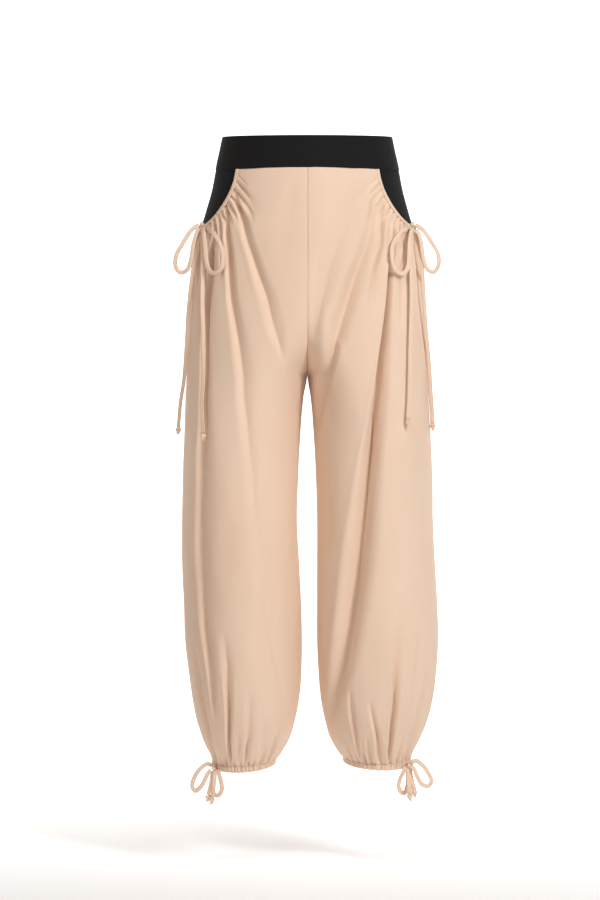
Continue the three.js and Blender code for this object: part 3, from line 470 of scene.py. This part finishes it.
def panel_cloth(leg, face, columns, rows):
    """Outer and inner points of a leg panel's cloth, with its folds and gathers."""
    s, t = np.meshgrid(columns, rows)
    base = smooth_panel(leg, face, s, t)
    normals = grid_normals(base) * -SIGN[leg] * SIGN[face]
    angle, z = place(leg, face, s, np.minimum(t, 1))
    o = Oval(leg, z)
    radius = (o.out - o.middle + o.front) / 2
    turned = SIGN[face] * angle
    from_middle = (o.seam - turned) * radius
    from_side = (turned - SIGN[face] * side_seam(z)) * radius
    at_seams = ease(from_middle / SEAM_FADE) * ease(from_side / SEAM_FADE)
    turn_fade = 1 - ease((t - 1.25) / 0.75)
    out = fold_depth(leg, face, angle, z) * at_seams * turn_fade
    waves = soft_waves(21 + SIGN[leg] + 5 * SIGN[face], turned * radius, z, WAVE_SIZE)
    out += waves * at_seams * (1 - ease(t - 1))
    drop = top_edge(face, s)[1] - z
    around = 90 * (s - CORNER_SHARE) / (1 - CORNER_SHARE)
    for degrees, depth, length, half in PUCKERS[leg]:
        away = (around - degrees) * OPENING_DEGREE / (half * (1 + drop / PUCKER_SPREAD))
        strength = (0.3 + 0.7 * ease(drop / 5)) * (1 - ease(drop / length)) * (around > -8)
        out -= PUCKER_STRENGTH * depth * np.exp(-away * away) * strength
    above_ring = np.where(t > 1, (2 - t) * TURNED_LENGTH, TURNED_LENGTH + (1 - t) * PANEL_LENGTH)
    span = np.pi * (RING_DEPTH + 5)
    for at, depth, length, half in hem_gathers(leg, face):
        away = (s - at) * span / (half * (1 + above_ring / GATHER_SPREAD))
        strength = (0.12 + 0.88 * ease(above_ring / 4)) * (1 - ease(above_ring / length))
        out -= depth * np.exp(-away * away) * strength
    out += PUFF * ease(above_ring / 6) * (1 - ease(above_ring / PUFF_REACH))
    out -= 0.6 * np.exp(-(np.maximum(from_side, 0) / 1.6) ** 2)
    at_middle = 0.4 * np.exp(-(np.maximum(from_middle, 0) / 1.5) ** 2)
    on_band = s < CORNER_SHARE * 1.05
    out -= np.where(on_band, 0.45 * np.exp(-(drop / 1.2) ** 2) + 0.3 * np.exp(-((drop - 5.6) / 0.8) ** 2), 0)
    outer = base + normals * out[..., None] - normals * (0, 1, 1) * at_middle[..., None]
    return outer, outer - normals * CREPE_CLOTH


def mesh_piece(name, points, faces, material):
    """A mesh object from points in millimetres, turned so that it faces outwards."""
    points = np.asarray(points, float).reshape(-1, 3) * MM
    volume = 0.0
    for size in {len(f) for f in faces}:
        group = np.array([f for f in faces if len(f) == size])
        for k in range(1, size - 1):
            a, b, c = points[group[:, 0]], points[group[:, k]], points[group[:, k + 1]]
            volume += float(np.einsum("ij,ij->", a, np.cross(b, c)))
    if volume < 0:
        faces = [tuple(reversed(f)) for f in faces]
    mesh = bpy.data.meshes.new(name)
    mesh.from_pydata(points.tolist(), [], faces)
    mesh.polygons.foreach_set("use_smooth", [True] * len(mesh.polygons))
    mesh.materials.append(material)
    mesh.update()
    piece = bpy.data.objects.new(name, mesh)
    bpy.context.scene.collection.objects.link(piece)
    return piece


def grid_faces(index):
    """Four-sided faces between a grid's points."""
    return np.stack([index[:-1, :-1], index[:-1, 1:], index[1:, 1:], index[1:, :-1]], -1).reshape(-1, 4)


def rim_of(index):
    """The points round a grid's edge, in order."""
    return np.concatenate([index[0, :], index[1:, -1], index[-1, -2::-1], index[-2:0:-1, 0]])


def wall_piece(name, outer, inner, material):
    """A closed wall of cloth: a fine outer face, an inner one of every second row and column, and its rim."""
    inner = inner[::2, ::2]
    fine = np.arange(outer.shape[0] * outer.shape[1]).reshape(outer.shape[:2])
    coarse = np.arange(inner.shape[0] * inner.shape[1]).reshape(inner.shape[:2]) + fine.size
    faces = [tuple(f) for f in grid_faces(fine).tolist()]
    faces += [tuple(reversed(f)) for f in grid_faces(coarse).tolist()]
    rim, under = rim_of(fine), rim_of(coarse)
    first, second, third = rim[0::2], rim[1::2], np.roll(rim, -2)[0::2]
    below, next_below = under, np.roll(under, -1)
    for triple in ((first, below, second), (second, below, next_below), (second, next_below, third)):
        faces += [tuple(f) for f in np.stack(triple, -1).tolist()]
    return mesh_piece(name, np.concatenate([outer.reshape(-1, 3), inner.reshape(-1, 3)]), faces, material)


def skin_piece(name, sections, material, joins_up=False):
    """A closed skin through cross-sections, with flat ends unless the run joins up."""
    count, around = sections.shape[:2]
    faces = []
    for i in range(count if joins_up else count - 1):
        here, there = i * around, (i + 1) % count * around
        for j in range(around):
            k = (j + 1) % around
            faces.append((here + j, here + k, there + k, there + j))
    if not joins_up:
        faces.append(tuple(range(around - 1, -1, -1)))
        faces.append(tuple(range((count - 1) * around, count * around)))
    return mesh_piece(name, sections, faces, material)


# Camera

CAMERA_ASIDE, SENSOR, VIEW_TALL = -11.5, 24, 900
camera = bpy.data.objects.new("camera", bpy.data.cameras.new("camera"))
bpy.context.scene.collection.objects.link(camera)
camera.location = (CAMERA_ASIDE * MM, -VIEW_AWAY * MM, VIEW_Z * MM)
camera.rotation_euler = (np.pi / 2, 0, 0)
camera.data.sensor_fit = "VERTICAL"
camera.data.sensor_height = SENSOR
camera.data.lens = SENSOR * VIEW_AWAY / (VIEW_TALL * STEP)
bpy.context.scene.camera = camera


# Finishes

def new_material(name):
    """An empty material with its shader."""
    material = bpy.data.materials.new(name)
    material.use_nodes = True
    nodes = material.node_tree.nodes
    nodes.clear()
    shader = nodes.new("ShaderNodeBsdfPrincipled")
    output = nodes.new("ShaderNodeOutputMaterial")
    material.node_tree.links.new(shader.outputs["BSDF"], output.inputs["Surface"])
    return material, nodes, material.node_tree.links, shader


def noise(nodes, links, coordinates, scale, detail=2.0, rough=0.5):
    """A noise pattern's height."""
    n = nodes.new("ShaderNodeTexNoise")
    n.inputs["Scale"].default_value = scale
    n.inputs["Detail"].default_value = detail
    n.inputs["Roughness"].default_value = rough
    links.new(coordinates, n.inputs["Vector"])
    return n.outputs["Fac"]


def stretched(nodes, links, coordinates, scale):
    """Coordinates scaled by a factor for each axis."""
    m = nodes.new("ShaderNodeMapping")
    m.inputs["Scale"].default_value = scale
    links.new(coordinates, m.inputs["Vector"])
    return m.outputs["Vector"]


def blended(nodes, links, share, low, high, low_colour, high_colour):
    """A colour between two, by a pattern's height."""
    ramp = nodes.new("ShaderNodeValToRGB")
    ramp.color_ramp.elements[0].position, ramp.color_ramp.elements[1].position = low, high
    ramp.color_ramp.elements[0].color = (*low_colour, 1)
    ramp.color_ramp.elements[1].color = (*high_colour, 1)
    links.new(share, ramp.inputs["Fac"])
    return ramp.outputs["Color"]


def added_bump(nodes, links, height, strength, distance, under=None):
    """A bump from a pattern, over another one where it is given."""
    bump = nodes.new("ShaderNodeBump")
    bump.inputs["Strength"].default_value = strength
    bump.inputs["Distance"].default_value = distance
    links.new(height, bump.inputs["Height"])
    if under is not None:
        links.new(under, bump.inputs["Normal"])
    return bump.outputs["Normal"]


def cloth_material(name, colour, roughness, sheen, grain, grain_depth, slow_depth):
    """Woven or knitted cloth: colour that varies a little, a grain of yarn, and slow small creases."""
    material, nodes, links, shader = new_material(name)
    coordinates = nodes.new("ShaderNodeTexCoord").outputs["Object"]
    patches = noise(nodes, links, stretched(nodes, links, coordinates, (9, 9, 3)), 1.0, 3.0)
    dark = tuple(c * f for c, f in zip(colour, (0.95, 0.925, 0.9)))
    light = tuple(min(1.0, c * 1.03) for c in colour)
    wide = blended(nodes, links, patches, 0.3, 0.7, dark, light)
    yarn = noise(nodes, links, stretched(nodes, links, coordinates, grain), 1.0, 2.0, 0.6)
    fine = blended(nodes, links, yarn, 0.3, 0.75, (0.93, 0.92, 0.91), (1.0, 1.0, 1.0))
    mix = nodes.new("ShaderNodeMix")
    mix.data_type, mix.blend_type = "RGBA", "MULTIPLY"
    mix.inputs[0].default_value = 0.7
    links.new(wide, mix.inputs[6])
    links.new(fine, mix.inputs[7])
    links.new(mix.outputs[2], shader.inputs["Base Color"])
    slow = noise(nodes, links, stretched(nodes, links, coordinates, (30, 30, 9)), 1.0, 3.0)
    normal = added_bump(nodes, links, slow, 0.6, slow_depth)
    links.new(added_bump(nodes, links, yarn, 0.5, grain_depth, normal), shader.inputs["Normal"])
    shader.inputs["Roughness"].default_value = roughness
    shader.inputs["Sheen Weight"].default_value = sheen
    shader.inputs["Sheen Roughness"].default_value = 0.5
    shader.inputs["Sheen Tint"].default_value = (1.0, 0.93, 0.86, 1)
    shader.inputs["Specular IOR Level"].default_value = 0.2
    return material


peach_crepe = cloth_material(
    "peach_crepe", (0.80, 0.61, 0.475), 0.85, 0.10, (900, 900, 1100), 0.00012, 0.0010)
tie_crepe = cloth_material(
    "tie_crepe", (0.81, 0.625, 0.49), 0.8, 0.10, (1100, 1100, 900), 0.00010, 0.0004)
black_knit = cloth_material(
    "black_knit", (0.0065, 0.0065, 0.0070), 0.85, 0.02, (1500, 1500, 420), 0.00012, 0.0004)
peach_thread = cloth_material(
    "peach_thread", (0.84, 0.63, 0.48), 0.6, 0.1, (3000, 3000, 3000), 0.00004, 0.0001)


# Ties and their knots

def centripetal(points, per_step):
    """Points on a centripetal curve through the given ones."""
    points = np.asarray(points, float)
    ends = np.vstack([2 * points[0] - points[1], points, 2 * points[-1] - points[-2]])
    line = []
    for i in range(1, len(ends) - 2):
        p = ends[i - 1:i + 3]
        gaps = np.maximum(np.linalg.norm(np.diff(p, axis=0), axis=1) ** 0.5, 1e-6)
        m1 = (p[1] - p[0]) / gaps[0] - (p[2] - p[0]) / (gaps[0] + gaps[1]) + (p[2] - p[1]) / gaps[1]
        m2 = (p[2] - p[1]) / gaps[1] - (p[3] - p[1]) / (gaps[1] + gaps[2]) + (p[3] - p[2]) / gaps[2]
        m1, m2 = m1 * gaps[1], m2 * gaps[1]
        u = (np.arange(per_step) / per_step)[:, None]
        line.append((2 * u ** 3 - 3 * u ** 2 + 1) * p[1] + (u ** 3 - 2 * u ** 2 + u) * m1
                    + (3 * u ** 2 - 2 * u ** 3) * p[2] + (u ** 3 - u ** 2) * m2)
    return np.vstack([*line, points[-1:]])


def evenly(line, count):
    """Evenly spaced points along a line, and its length."""
    lengths = np.concatenate([[0], np.cumsum(np.linalg.norm(np.diff(line, axis=0), axis=1))])
    at = np.linspace(0, lengths[-1], count)
    return np.stack([np.interp(at, lengths, line[:, k]) for k in range(3)], -1), lengths[-1]


def tie_profile():
    """Outline of a flat folded tie, with a groove beside its stitched edge."""
    wide, thick = TIE_WIDTH / 2, TIE_THICK / 2
    return np.array([
        (-wide, 0), (-wide * 0.9, thick * 0.8), (-wide * 0.62, thick), (-wide * 0.46, thick * 0.45),
        (-wide * 0.3, thick), (wide * 0.1, thick * 1.1), (wide * 0.55, thick * 0.98),
        (wide * 0.88, thick * 0.7), (wide, 0), (wide * 0.88, -thick * 0.7), (wide * 0.5, -thick),
        (0, -thick), (-wide * 0.5, -thick), (-wide * 0.88, -thick * 0.7)])


def tie_piece(name, route, twist):
    """A flat tie swept along its route; its flat side faces away from the leg, with a slow twist."""
    line, length = evenly(centripetal(route, 24), max(14, int(np.ceil(len(route) * 7))))
    tangents = np.gradient(line, axis=0)
    tangents /= np.linalg.norm(tangents, axis=1, keepdims=True)
    side = -1 if line[:, 0].mean() < 0 else 1
    out = np.tile((side * 0.3, -1.0, 0.0), (len(line), 1))
    out -= tangents * np.einsum("ij,ij->i", out, tangents)[:, None]
    out /= np.linalg.norm(out, axis=1, keepdims=True)
    across = np.cross(tangents, out)
    turn = twist * np.sin(np.linspace(0, np.pi * 1.6, len(line)))
    flat = across * np.cos(turn)[:, None] + out * np.sin(turn)[:, None]
    up = np.cross(flat, tangents)
    profile = tie_profile()
    sections = line[:, None] + flat[:, None] * profile[None, :, :1] + up[:, None] * profile[None, :, 1:]
    return skin_piece(name, sections, tie_crepe), line, length


def lump(name, centre, radii, creases):
    """The rounded, pinched core of a bow's knot."""
    rings, around = 16, 24
    down, turns = np.linspace(0, np.pi, rings + 1)[1:-1], np.arange(around) / around * 2 * np.pi
    v, u = np.meshgrid(down, turns, indexing="ij")
    pinch = 1 - 0.12 * np.cos(2 * u) ** 2 * np.sin(v) ** 2 + 0.07 * np.sin(creases * u + 2 * v)
    x, y, z = np.sin(v) * np.cos(u) * pinch, np.sin(v) * np.sin(u) * pinch, np.cos(v)
    sections = np.stack([x * radii[0], y * radii[1], z * radii[2]], -1) + centre
    return skin_piece(name + "_core", sections, tie_crepe)


def wrap(name, centre, radii, side):
    """The band of the bow, passed round the knot from top to bottom."""
    turns = np.arange(40) / 40 * 2 * np.pi
    band = []
    for turn in turns:
        out = np.array([0.0, np.cos(turn), np.sin(turn)])
        around, along = np.sin(turn), np.cos(turn)
        middle = np.array([side * 0.6 * around, radii[1] * 0.93 * along, radii[2] * around])
        width = 2.3 - 0.35 * np.cos(2 * turn)
        ring = [(-width, 0), (-width * 0.8, 0.7), (0, 0.95), (width * 0.8, 0.7), (width, 0), (0, -0.7)]
        band.append([centre + middle + np.array([a, 0, 0]) + out * b for a, b in ring])
    return skin_piece(name, np.array(band), tie_crepe, joins_up=True)


def join(name, *pieces):
    """Several closed meshes as one piece."""
    with bpy.context.temp_override(active_object=pieces[0], selected_editable_objects=list(pieces)):
        bpy.ops.object.join()
    pieces[0].name = pieces[0].data.name = name
    return pieces[0]


def end_knot(name, centre, lean):
    """An overhand knot at a tie's end, with a short cut end below it."""
    turn = np.linspace(0, 2 * np.pi, 72, endpoint=False)
    line = np.stack([
        (np.sin(turn) + 2 * np.sin(2 * turn)) * 1.0, -np.sin(3 * turn) * 1.15,
        (np.cos(turn) - 2 * np.cos(2 * turn)) * 1.05], -1) + centre
    tangents = np.roll(line, -1, 0) - np.roll(line, 1, 0)
    tangents /= np.linalg.norm(tangents, axis=1, keepdims=True)
    across = np.cross(tangents, (0.0, 1.0, 0.0))
    across /= np.linalg.norm(across, axis=1, keepdims=True)
    up = np.cross(tangents, across)
    a = np.arange(10) / 10 * 2 * np.pi
    ring = np.stack([1.9 * np.cos(a), 1.4 * np.sin(a)], -1)
    sections = line[:, None] + across[:, None] * ring[None, :, :1] + up[:, None] * ring[None, :, 1:]
    tied = skin_piece(name + "_tied", sections, tie_crepe, joins_up=True)
    tip = np.array([centre + (lean * k * 0.4, 0, -2.2 - 1.1 * k) for k in range(5)])
    half = np.array([1.6, 1.9, 2.2, 2.4, 2.3])
    sections = np.array([[p + (w * np.cos(b), 0.8 * np.sin(b), 0) for b in a] for p, w in zip(tip, half)])
    return join(name, tied, skin_piece(name + "_tip", sections, tie_crepe))


KNOTS = {
    "hip_bow_knot_left": (-164.8, -29.5, -116.7), "hip_bow_knot_right": (164.1, -29.5, -116.8),
    "ankle_bow_knot_left": (-145.7, -26.3, -966.8), "ankle_bow_knot_right": (158.4, -26.3, -962.9),
}
for knot_name, centre in KNOTS.items():
    side = -1 if centre[0] < 0 else 1
    core = lump(knot_name, np.array(centre), (3.9, 4.4, 3.4), 3)
    band = wrap(knot_name + "_band", np.array(centre), (3.9, 4.4, 3.6), side)
    knot = join("tied_" + knot_name, core, band)
    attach(knot, "root")
    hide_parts(knot_name)

for name, route in TIES.items():
    piece, line, length = tie_piece("tied_" + name, route, 0.35 if "tail" in name else 0.2)
    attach(piece, "root")
    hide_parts(name)
    if "tail" in name:
        x, y, z = route[-1]
        knot_name = name.replace("tail", "end_knot")
        knot = end_knot("tied_" + knot_name, np.array((x, y, z - 4.2)), 1 if x > 0 else -1)
        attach(knot, "root")
        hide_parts(knot_name)


# Leg panels

def panel_rows():
    """Rows down a panel, close together at the gathers and where the folds slant."""
    top = np.linspace(0, 0.05, 26, endpoint=False)
    hip = np.linspace(0.05, 0.38, 106, endpoint=False)
    leg = np.linspace(0.38, 0.9, 76, endpoint=False)
    low = np.linspace(0.9, 1, 38, endpoint=False)
    return np.concatenate([top, hip, leg, low, np.linspace(1, 2, 39)])


COLUMNS = np.linspace(0, 1, 239)
for leg in ("left", "right"):
    for face in ("front", "back"):
        outer, inner = panel_cloth(leg, face, COLUMNS, panel_rows())
        node = f"leg_{face}_{leg}"
        panel = wall_piece("crepe_" + node, outer, inner, peach_crepe)
        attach(panel, "root")
        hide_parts(node)


# Hip and ankle casings

def pinches(positions, places, narrow):
    """1 between the puckers and less at each of them."""
    pull = np.zeros_like(positions)
    for p, strength, half in places:
        pull = np.maximum(pull, strength * np.exp(-((positions - p) / half) ** 2))
    return 1 - narrow * pull


SEWN_ROWS = []
for leg in ("left", "right"):
    for face in ("front", "back"):
        turns = np.radians(np.linspace(0, 90, 190))
        rng = np.random.RandomState(7 + SIGN[leg] + 3 * SIGN[face])
        places = [(degrees + rng.uniform(-0.6, 0.6), rng.uniform(0.7, 1), rng.uniform(0.8, 1.3))
                  for degrees, *_ in PUCKERS[leg]]
        places += [(degrees + rng.uniform(2, 3.4), rng.uniform(0.25, 0.6), rng.uniform(0.5, 0.9))
                   for degrees, *_ in PUCKERS[leg]]
        swell = pinches(np.degrees(turns), places, 0.62 if leg == "left" else 0.5)
        u = np.linspace(0, 1, 15)
        rise = np.sin(np.pi * u) ** 0.55
        rise[1:4] += (0.16, 0.2, 0.08)
        sections = []
        for turn, pinch in zip(turns, swell):
            edge = 0.25 * (1 - pinch)
            angle, z = along_opening(face, turn, (u * (1 - edge) + edge * 0.2) * CASING_WIDTH)
            top = on_form(leg, angle, z, rise * CASING_PROUD * (0.45 + 0.55 * pinch))
            angle, z = along_opening(face, turn, np.array([1.0, 0.0]) * CASING_WIDTH)
            sections.append(np.vstack([top, on_form(leg, angle, z, np.array([-1.2, -1.2]))]))
        node = f"hip_casing_{face}_{leg}"
        sewn_turns = turns[4:-4]
        outward = way_out(leg, *along_opening(face, sewn_turns, CASING_WIDTH))
        SEWN_ROWS.append((np.array(sections)[4:-4, 12], outward))
        piece = skin_piece("crepe_" + node, np.array(sections), peach_crepe)
        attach(piece, "root")
        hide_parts(node)

for leg in ("left", "right"):
    count = 672
    turn = np.arange(count) / count * 2 * np.pi
    faces = np.where(turn < np.pi, 1, -1)
    places = []
    for face in ("front", "back"):
        for at, depth, length, half in hem_gathers(leg, face):
            ring_angle = np.pi * (1 - at)
            all_round = ring_angle if face == "front" else 2 * np.pi - ring_angle
            places.append((all_round, min(1, 0.3 + depth * 0.15), 0.02))
    pinch = pinches(turn, places, 1.0)
    profile = [(0, 0), (0.04, 0.6), (0.14, 0.95), (0.22, 0.8), (0.27, 0.55), (0.33, 0.85), (0.55, 1.05),
               (0.8, 0.95), (0.95, 0.55), (1, 0), (1, -1.3), (0, -1.3)]
    sections = []
    for i in range(count):
        face = "front" if faces[i] > 0 else "back"
        angle = turn[i] if faces[i] > 0 else 2 * np.pi - turn[i]
        low = ring_low(leg, face, angle)
        lift = 0.9 * (1 - pinch[i])
        sections.append([
            ring_point(leg, face, angle, low + lift + up * (RING_HEIGHT - lift),
                       out * RING_PROUD * (1.4 * pinch[i] - 0.4) if out > 0 else out)
            for up, out in profile])
    row = np.array(sections)[:, 7]
    out = row - (SIGN[leg] * ANKLES[leg]["middle"], 0, 0)
    out[:, 2] = 0
    SEWN_ROWS.append((np.vstack([row, row[:1]]), np.vstack([out, out[:1]]) / np.linalg.norm(out[0])))
    piece = skin_piece(f"crepe_ankle_casing_{leg}", np.array(sections), peach_crepe, joins_up=True)
    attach(piece, "root")
    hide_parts(f"ankle_casing_{leg}")


# Stitches along the casings

STITCH_STEP, STITCH_LENGTH, STITCH_THICK, STITCH_LIFT = 2.7, 1.9, 0.45, 0.12


def stitch_tree():
    """Rows of small stitches along a mesh's edges, lying along the row."""
    tree = bpy.data.node_groups.new("stitch_rows", "GeometryNodeTree")
    kinds = {
        "Geometry": "Geometry", "Step": "Float", "Length": "Float", "Thickness": "Float",
        "Thread": "Material"}
    for name, kind in kinds.items():
        tree.interface.new_socket(name, in_out="INPUT", socket_type="NodeSocket" + kind)
    tree.interface.new_socket("Geometry", in_out="OUTPUT", socket_type="NodeSocketGeometry")
    add, link = tree.nodes.new, tree.links.new
    given, made = add("NodeGroupInput"), add("NodeGroupOutput")
    curve = add("GeometryNodeMeshToCurve")
    link(given.outputs["Geometry"], curve.inputs["Mesh"])
    evened = add("GeometryNodeResampleCurve")
    evened.mode = "LENGTH"
    link(curve.outputs["Curve"], evened.inputs["Curve"])
    link(given.outputs["Step"], evened.inputs["Length"])
    bead = add("GeometryNodeMeshUVSphere")
    bead.inputs["Segments"].default_value, bead.inputs["Rings"].default_value = 6, 4
    bead.inputs["Radius"].default_value = 0.5
    aligned = add("FunctionNodeAlignRotationToVector")
    aligned.axis = "X"
    link(add("GeometryNodeInputTangent").outputs["Tangent"], aligned.inputs["Vector"])
    size = add("ShaderNodeCombineXYZ")
    link(given.outputs["Length"], size.inputs["X"])
    link(given.outputs["Thickness"], size.inputs["Y"])
    link(given.outputs["Thickness"], size.inputs["Z"])
    placed = add("GeometryNodeInstanceOnPoints")
    link(evened.outputs["Curve"], placed.inputs["Points"])
    link(bead.outputs["Mesh"], placed.inputs["Instance"])
    link(aligned.outputs["Rotation"], placed.inputs["Rotation"])
    link(size.outputs["Vector"], placed.inputs["Scale"])
    real = add("GeometryNodeRealizeInstances")
    link(placed.outputs["Instances"], real.inputs["Geometry"])
    finish = add("GeometryNodeSetMaterial")
    link(real.outputs["Geometry"], finish.inputs["Geometry"])
    link(given.outputs["Thread"], finish.inputs["Material"])
    link(finish.outputs["Geometry"], made.inputs["Geometry"])
    return tree


def stitches(name, rows, material):
    """One mesh of stitches along rows of points, each a little way out from its cloth."""
    points, edges = [], []
    for row, out in rows:
        start = len(points)
        points += ((row + out * STITCH_LIFT) * MM).tolist()
        edges += [(start + i, start + i + 1) for i in range(len(row) - 1)]
    mesh = bpy.data.meshes.new(name + "_rows")
    mesh.from_pydata(points, edges, [])
    guide = bpy.data.objects.new(name + "_rows", mesh)
    bpy.context.scene.collection.objects.link(guide)
    modifier = guide.modifiers.new("stitches", "NODES")
    modifier.node_group = stitch_tree()
    values = {
        "Step": STITCH_STEP * MM, "Length": STITCH_LENGTH * MM, "Thickness": STITCH_THICK * MM,
        "Thread": material}
    for item in modifier.node_group.interface.items_tree:
        if item.in_out == "INPUT" and item.name in values:
            modifier[item.identifier] = values[item.name]
    bpy.context.view_layer.update()
    graph = bpy.context.evaluated_depsgraph_get()
    made = bpy.data.meshes.new_from_object(guide.evaluated_get(graph), depsgraph=graph)
    bpy.data.objects.remove(guide)
    made.name = name
    sewn = bpy.data.objects.new(name, made)
    bpy.context.scene.collection.objects.link(sewn)
    return sewn


sewn = stitches("casing_stitches", SEWN_ROWS, peach_thread)
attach(sewn, "root")


# Waistband and hip panels

for face in ("front", "back"):
    gap = SEAM / 2 / HIP_RADIUS
    profile = [(0.035, -1.9), (0.004, -1.5), (0, -0.9), (0.012, -0.3), (0.04, 0), (0.2, 0.05), (0.4, 0.1),
               (0.6, 0.1), (0.8, 0.05), (0.9, 0), (0.94, -0.12), (0.975, 0), (0.99, -0.2), (1, -0.7),
               (0.998, -1.6), (0.97, -2.1)]
    sections = []
    for turn in np.linspace(gap, np.pi - gap, 200):
        leg = "left" if turn < np.pi / 2 else "right"
        angle = SIGN[face] * min(turn, np.pi - turn)
        ripple = 0.14 * np.sin(turn * 9 + SIGN[face]) + 0.1 * np.sin(turn * 23)
        rows = []
        for down, out in profile:
            z = band_top(angle) + (band_low(angle) - band_top(angle)) * down
            out += BAND_PROUD + ripple * (0.1 < down < 0.85)
            rows.append(on_form(leg, np.float64(angle), np.float64(z), np.float64(out)))
        sections.append(rows)
    piece = skin_piece(f"knit_waistband_{face}", np.array(sections), black_knit)
    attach(piece, "root")
    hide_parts(f"waistband_{face}")

for leg in ("left", "right"):
    turns = np.radians(np.concatenate([np.linspace(0, 78, 40), np.linspace(79, 86, 11)]))
    u = np.linspace(0, 1, 41)
    outer, inner = [], []
    for turn in turns:
        front = along_opening("front", turn, -SEWN)[0]
        back = along_opening("back", turn, -SEWN)[0]
        angle = back + (front - back) * u
        z = band_low(angle) - SEWN - (OPENING_DROP - SEWN) * np.sin(turn)
        dip = PANEL_INSET + 0.2 * np.exp(-(np.minimum(u, 1 - u) * 60) ** 2)
        outer.append(on_form(leg, angle, z, -dip))
        inner.append(on_form(leg, angle, z, -dip - KNIT_CLOTH))
    piece = wall_piece(f"knit_hip_panel_{leg}", np.array(outer), np.array(inner), black_knit)
    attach(piece, "root")
    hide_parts(f"hip_panel_{leg}")


# Floor and light

def stage_sheet():
    """A pale floor that curves up into a backdrop."""
    floor, back, bend = -1.12, 6.5, 1.5
    line = [(-7.0, floor), (back - bend, floor)]
    for a in np.linspace(0.1, np.pi / 2, 16):
        line.append((back - bend + bend * np.sin(a), floor + bend * (1 - np.cos(a))))
    line += [(back, 6.0)]
    points = [(x, y, z) for y, z in line for x in (-7.0, 7.0)]
    faces = [(2 * i, 2 * i + 1, 2 * i + 3, 2 * i + 2) for i in range(len(line) - 1)]
    mesh = bpy.data.meshes.new("floor")
    mesh.from_pydata(points, [], faces)
    mesh.polygons.foreach_set("use_smooth", [True] * len(mesh.polygons))
    floor_piece = bpy.data.objects.new("floor", mesh)
    bpy.context.scene.collection.objects.link(floor_piece)
    material, nodes, links, shader = new_material("pale_paper")
    shader.inputs["Base Color"].default_value = (0.9, 0.9, 0.9, 1)
    shader.inputs["Roughness"].default_value = 0.9
    shader.inputs["Specular IOR Level"].default_value = 0.1
    shader.inputs["Emission Color"].default_value = (1, 1, 1, 1)
    spot = nodes.new("ShaderNodeSeparateXYZ")
    links.new(nodes.new("ShaderNodeTexCoord").outputs["Object"], spot.inputs["Vector"])
    farther = nodes.new("ShaderNodeMapRange")
    farther.interpolation_type = "SMOOTHSTEP"
    for name, value in (("From Min", -0.6), ("From Max", 1.6), ("To Min", 0.1), ("To Max", 1.0)):
        farther.inputs[name].default_value = value
    links.new(spot.outputs["Y"], farther.inputs["Value"])
    links.new(farther.outputs["Result"], shader.inputs["Emission Strength"])
    mesh.materials.append(material)


def soft_light(name, at, towards, size, power, colour=(1, 1, 1)):
    """A large soft lamp turned towards a place."""
    light = bpy.data.lights.new(name, "AREA")
    light.shape, light.size, light.size_y = "RECTANGLE", size[0], size[1]
    light.energy, light.color = power, colour
    lamp = bpy.data.objects.new(name, light)
    bpy.context.scene.collection.objects.link(lamp)
    lamp.location = at
    direction = np.array(towards, float) - np.array(at, float)
    yaw, flat = np.arctan2(direction[0], -direction[1]), np.hypot(direction[0], direction[1])
    lamp.rotation_euler = (np.arctan2(flat, -direction[2]), 0, yaw + np.pi)
    return lamp


stage_sheet()
WARM = (1.0, 0.87, 0.76)
soft_light("key", (2.3, -2.8, 1.7), (0, 0, -0.25), (0.9, 1.3), 105)
soft_light("fill", (-2.2, -3.2, 1.3), (0, 0, -0.1), (1.4, 1.4), 33, WARM)
soft_light("over", (0.0, -1.8, 2.6), (0, 0, -0.1), (1.4, 1.0), 24)
soft_light("rear_left", (-2.4, 1.6, 0.6), (0, 0, -0.5), (1.2, 1.8), 10)
soft_light("rear_right", (2.4, 1.6, 0.6), (0, 0, -0.5), (1.2, 1.8), 10)
world = bpy.data.worlds.new("studio")
world.use_nodes = True
world.node_tree.nodes["Background"].inputs["Color"].default_value = (*WARM, 1)
world.node_tree.nodes["Background"].inputs["Strength"].default_value = 0.085
bpy.context.scene.world = world
bpy.context.scene.view_settings.view_transform = "Standard"

bpy.context.view_layer.update()
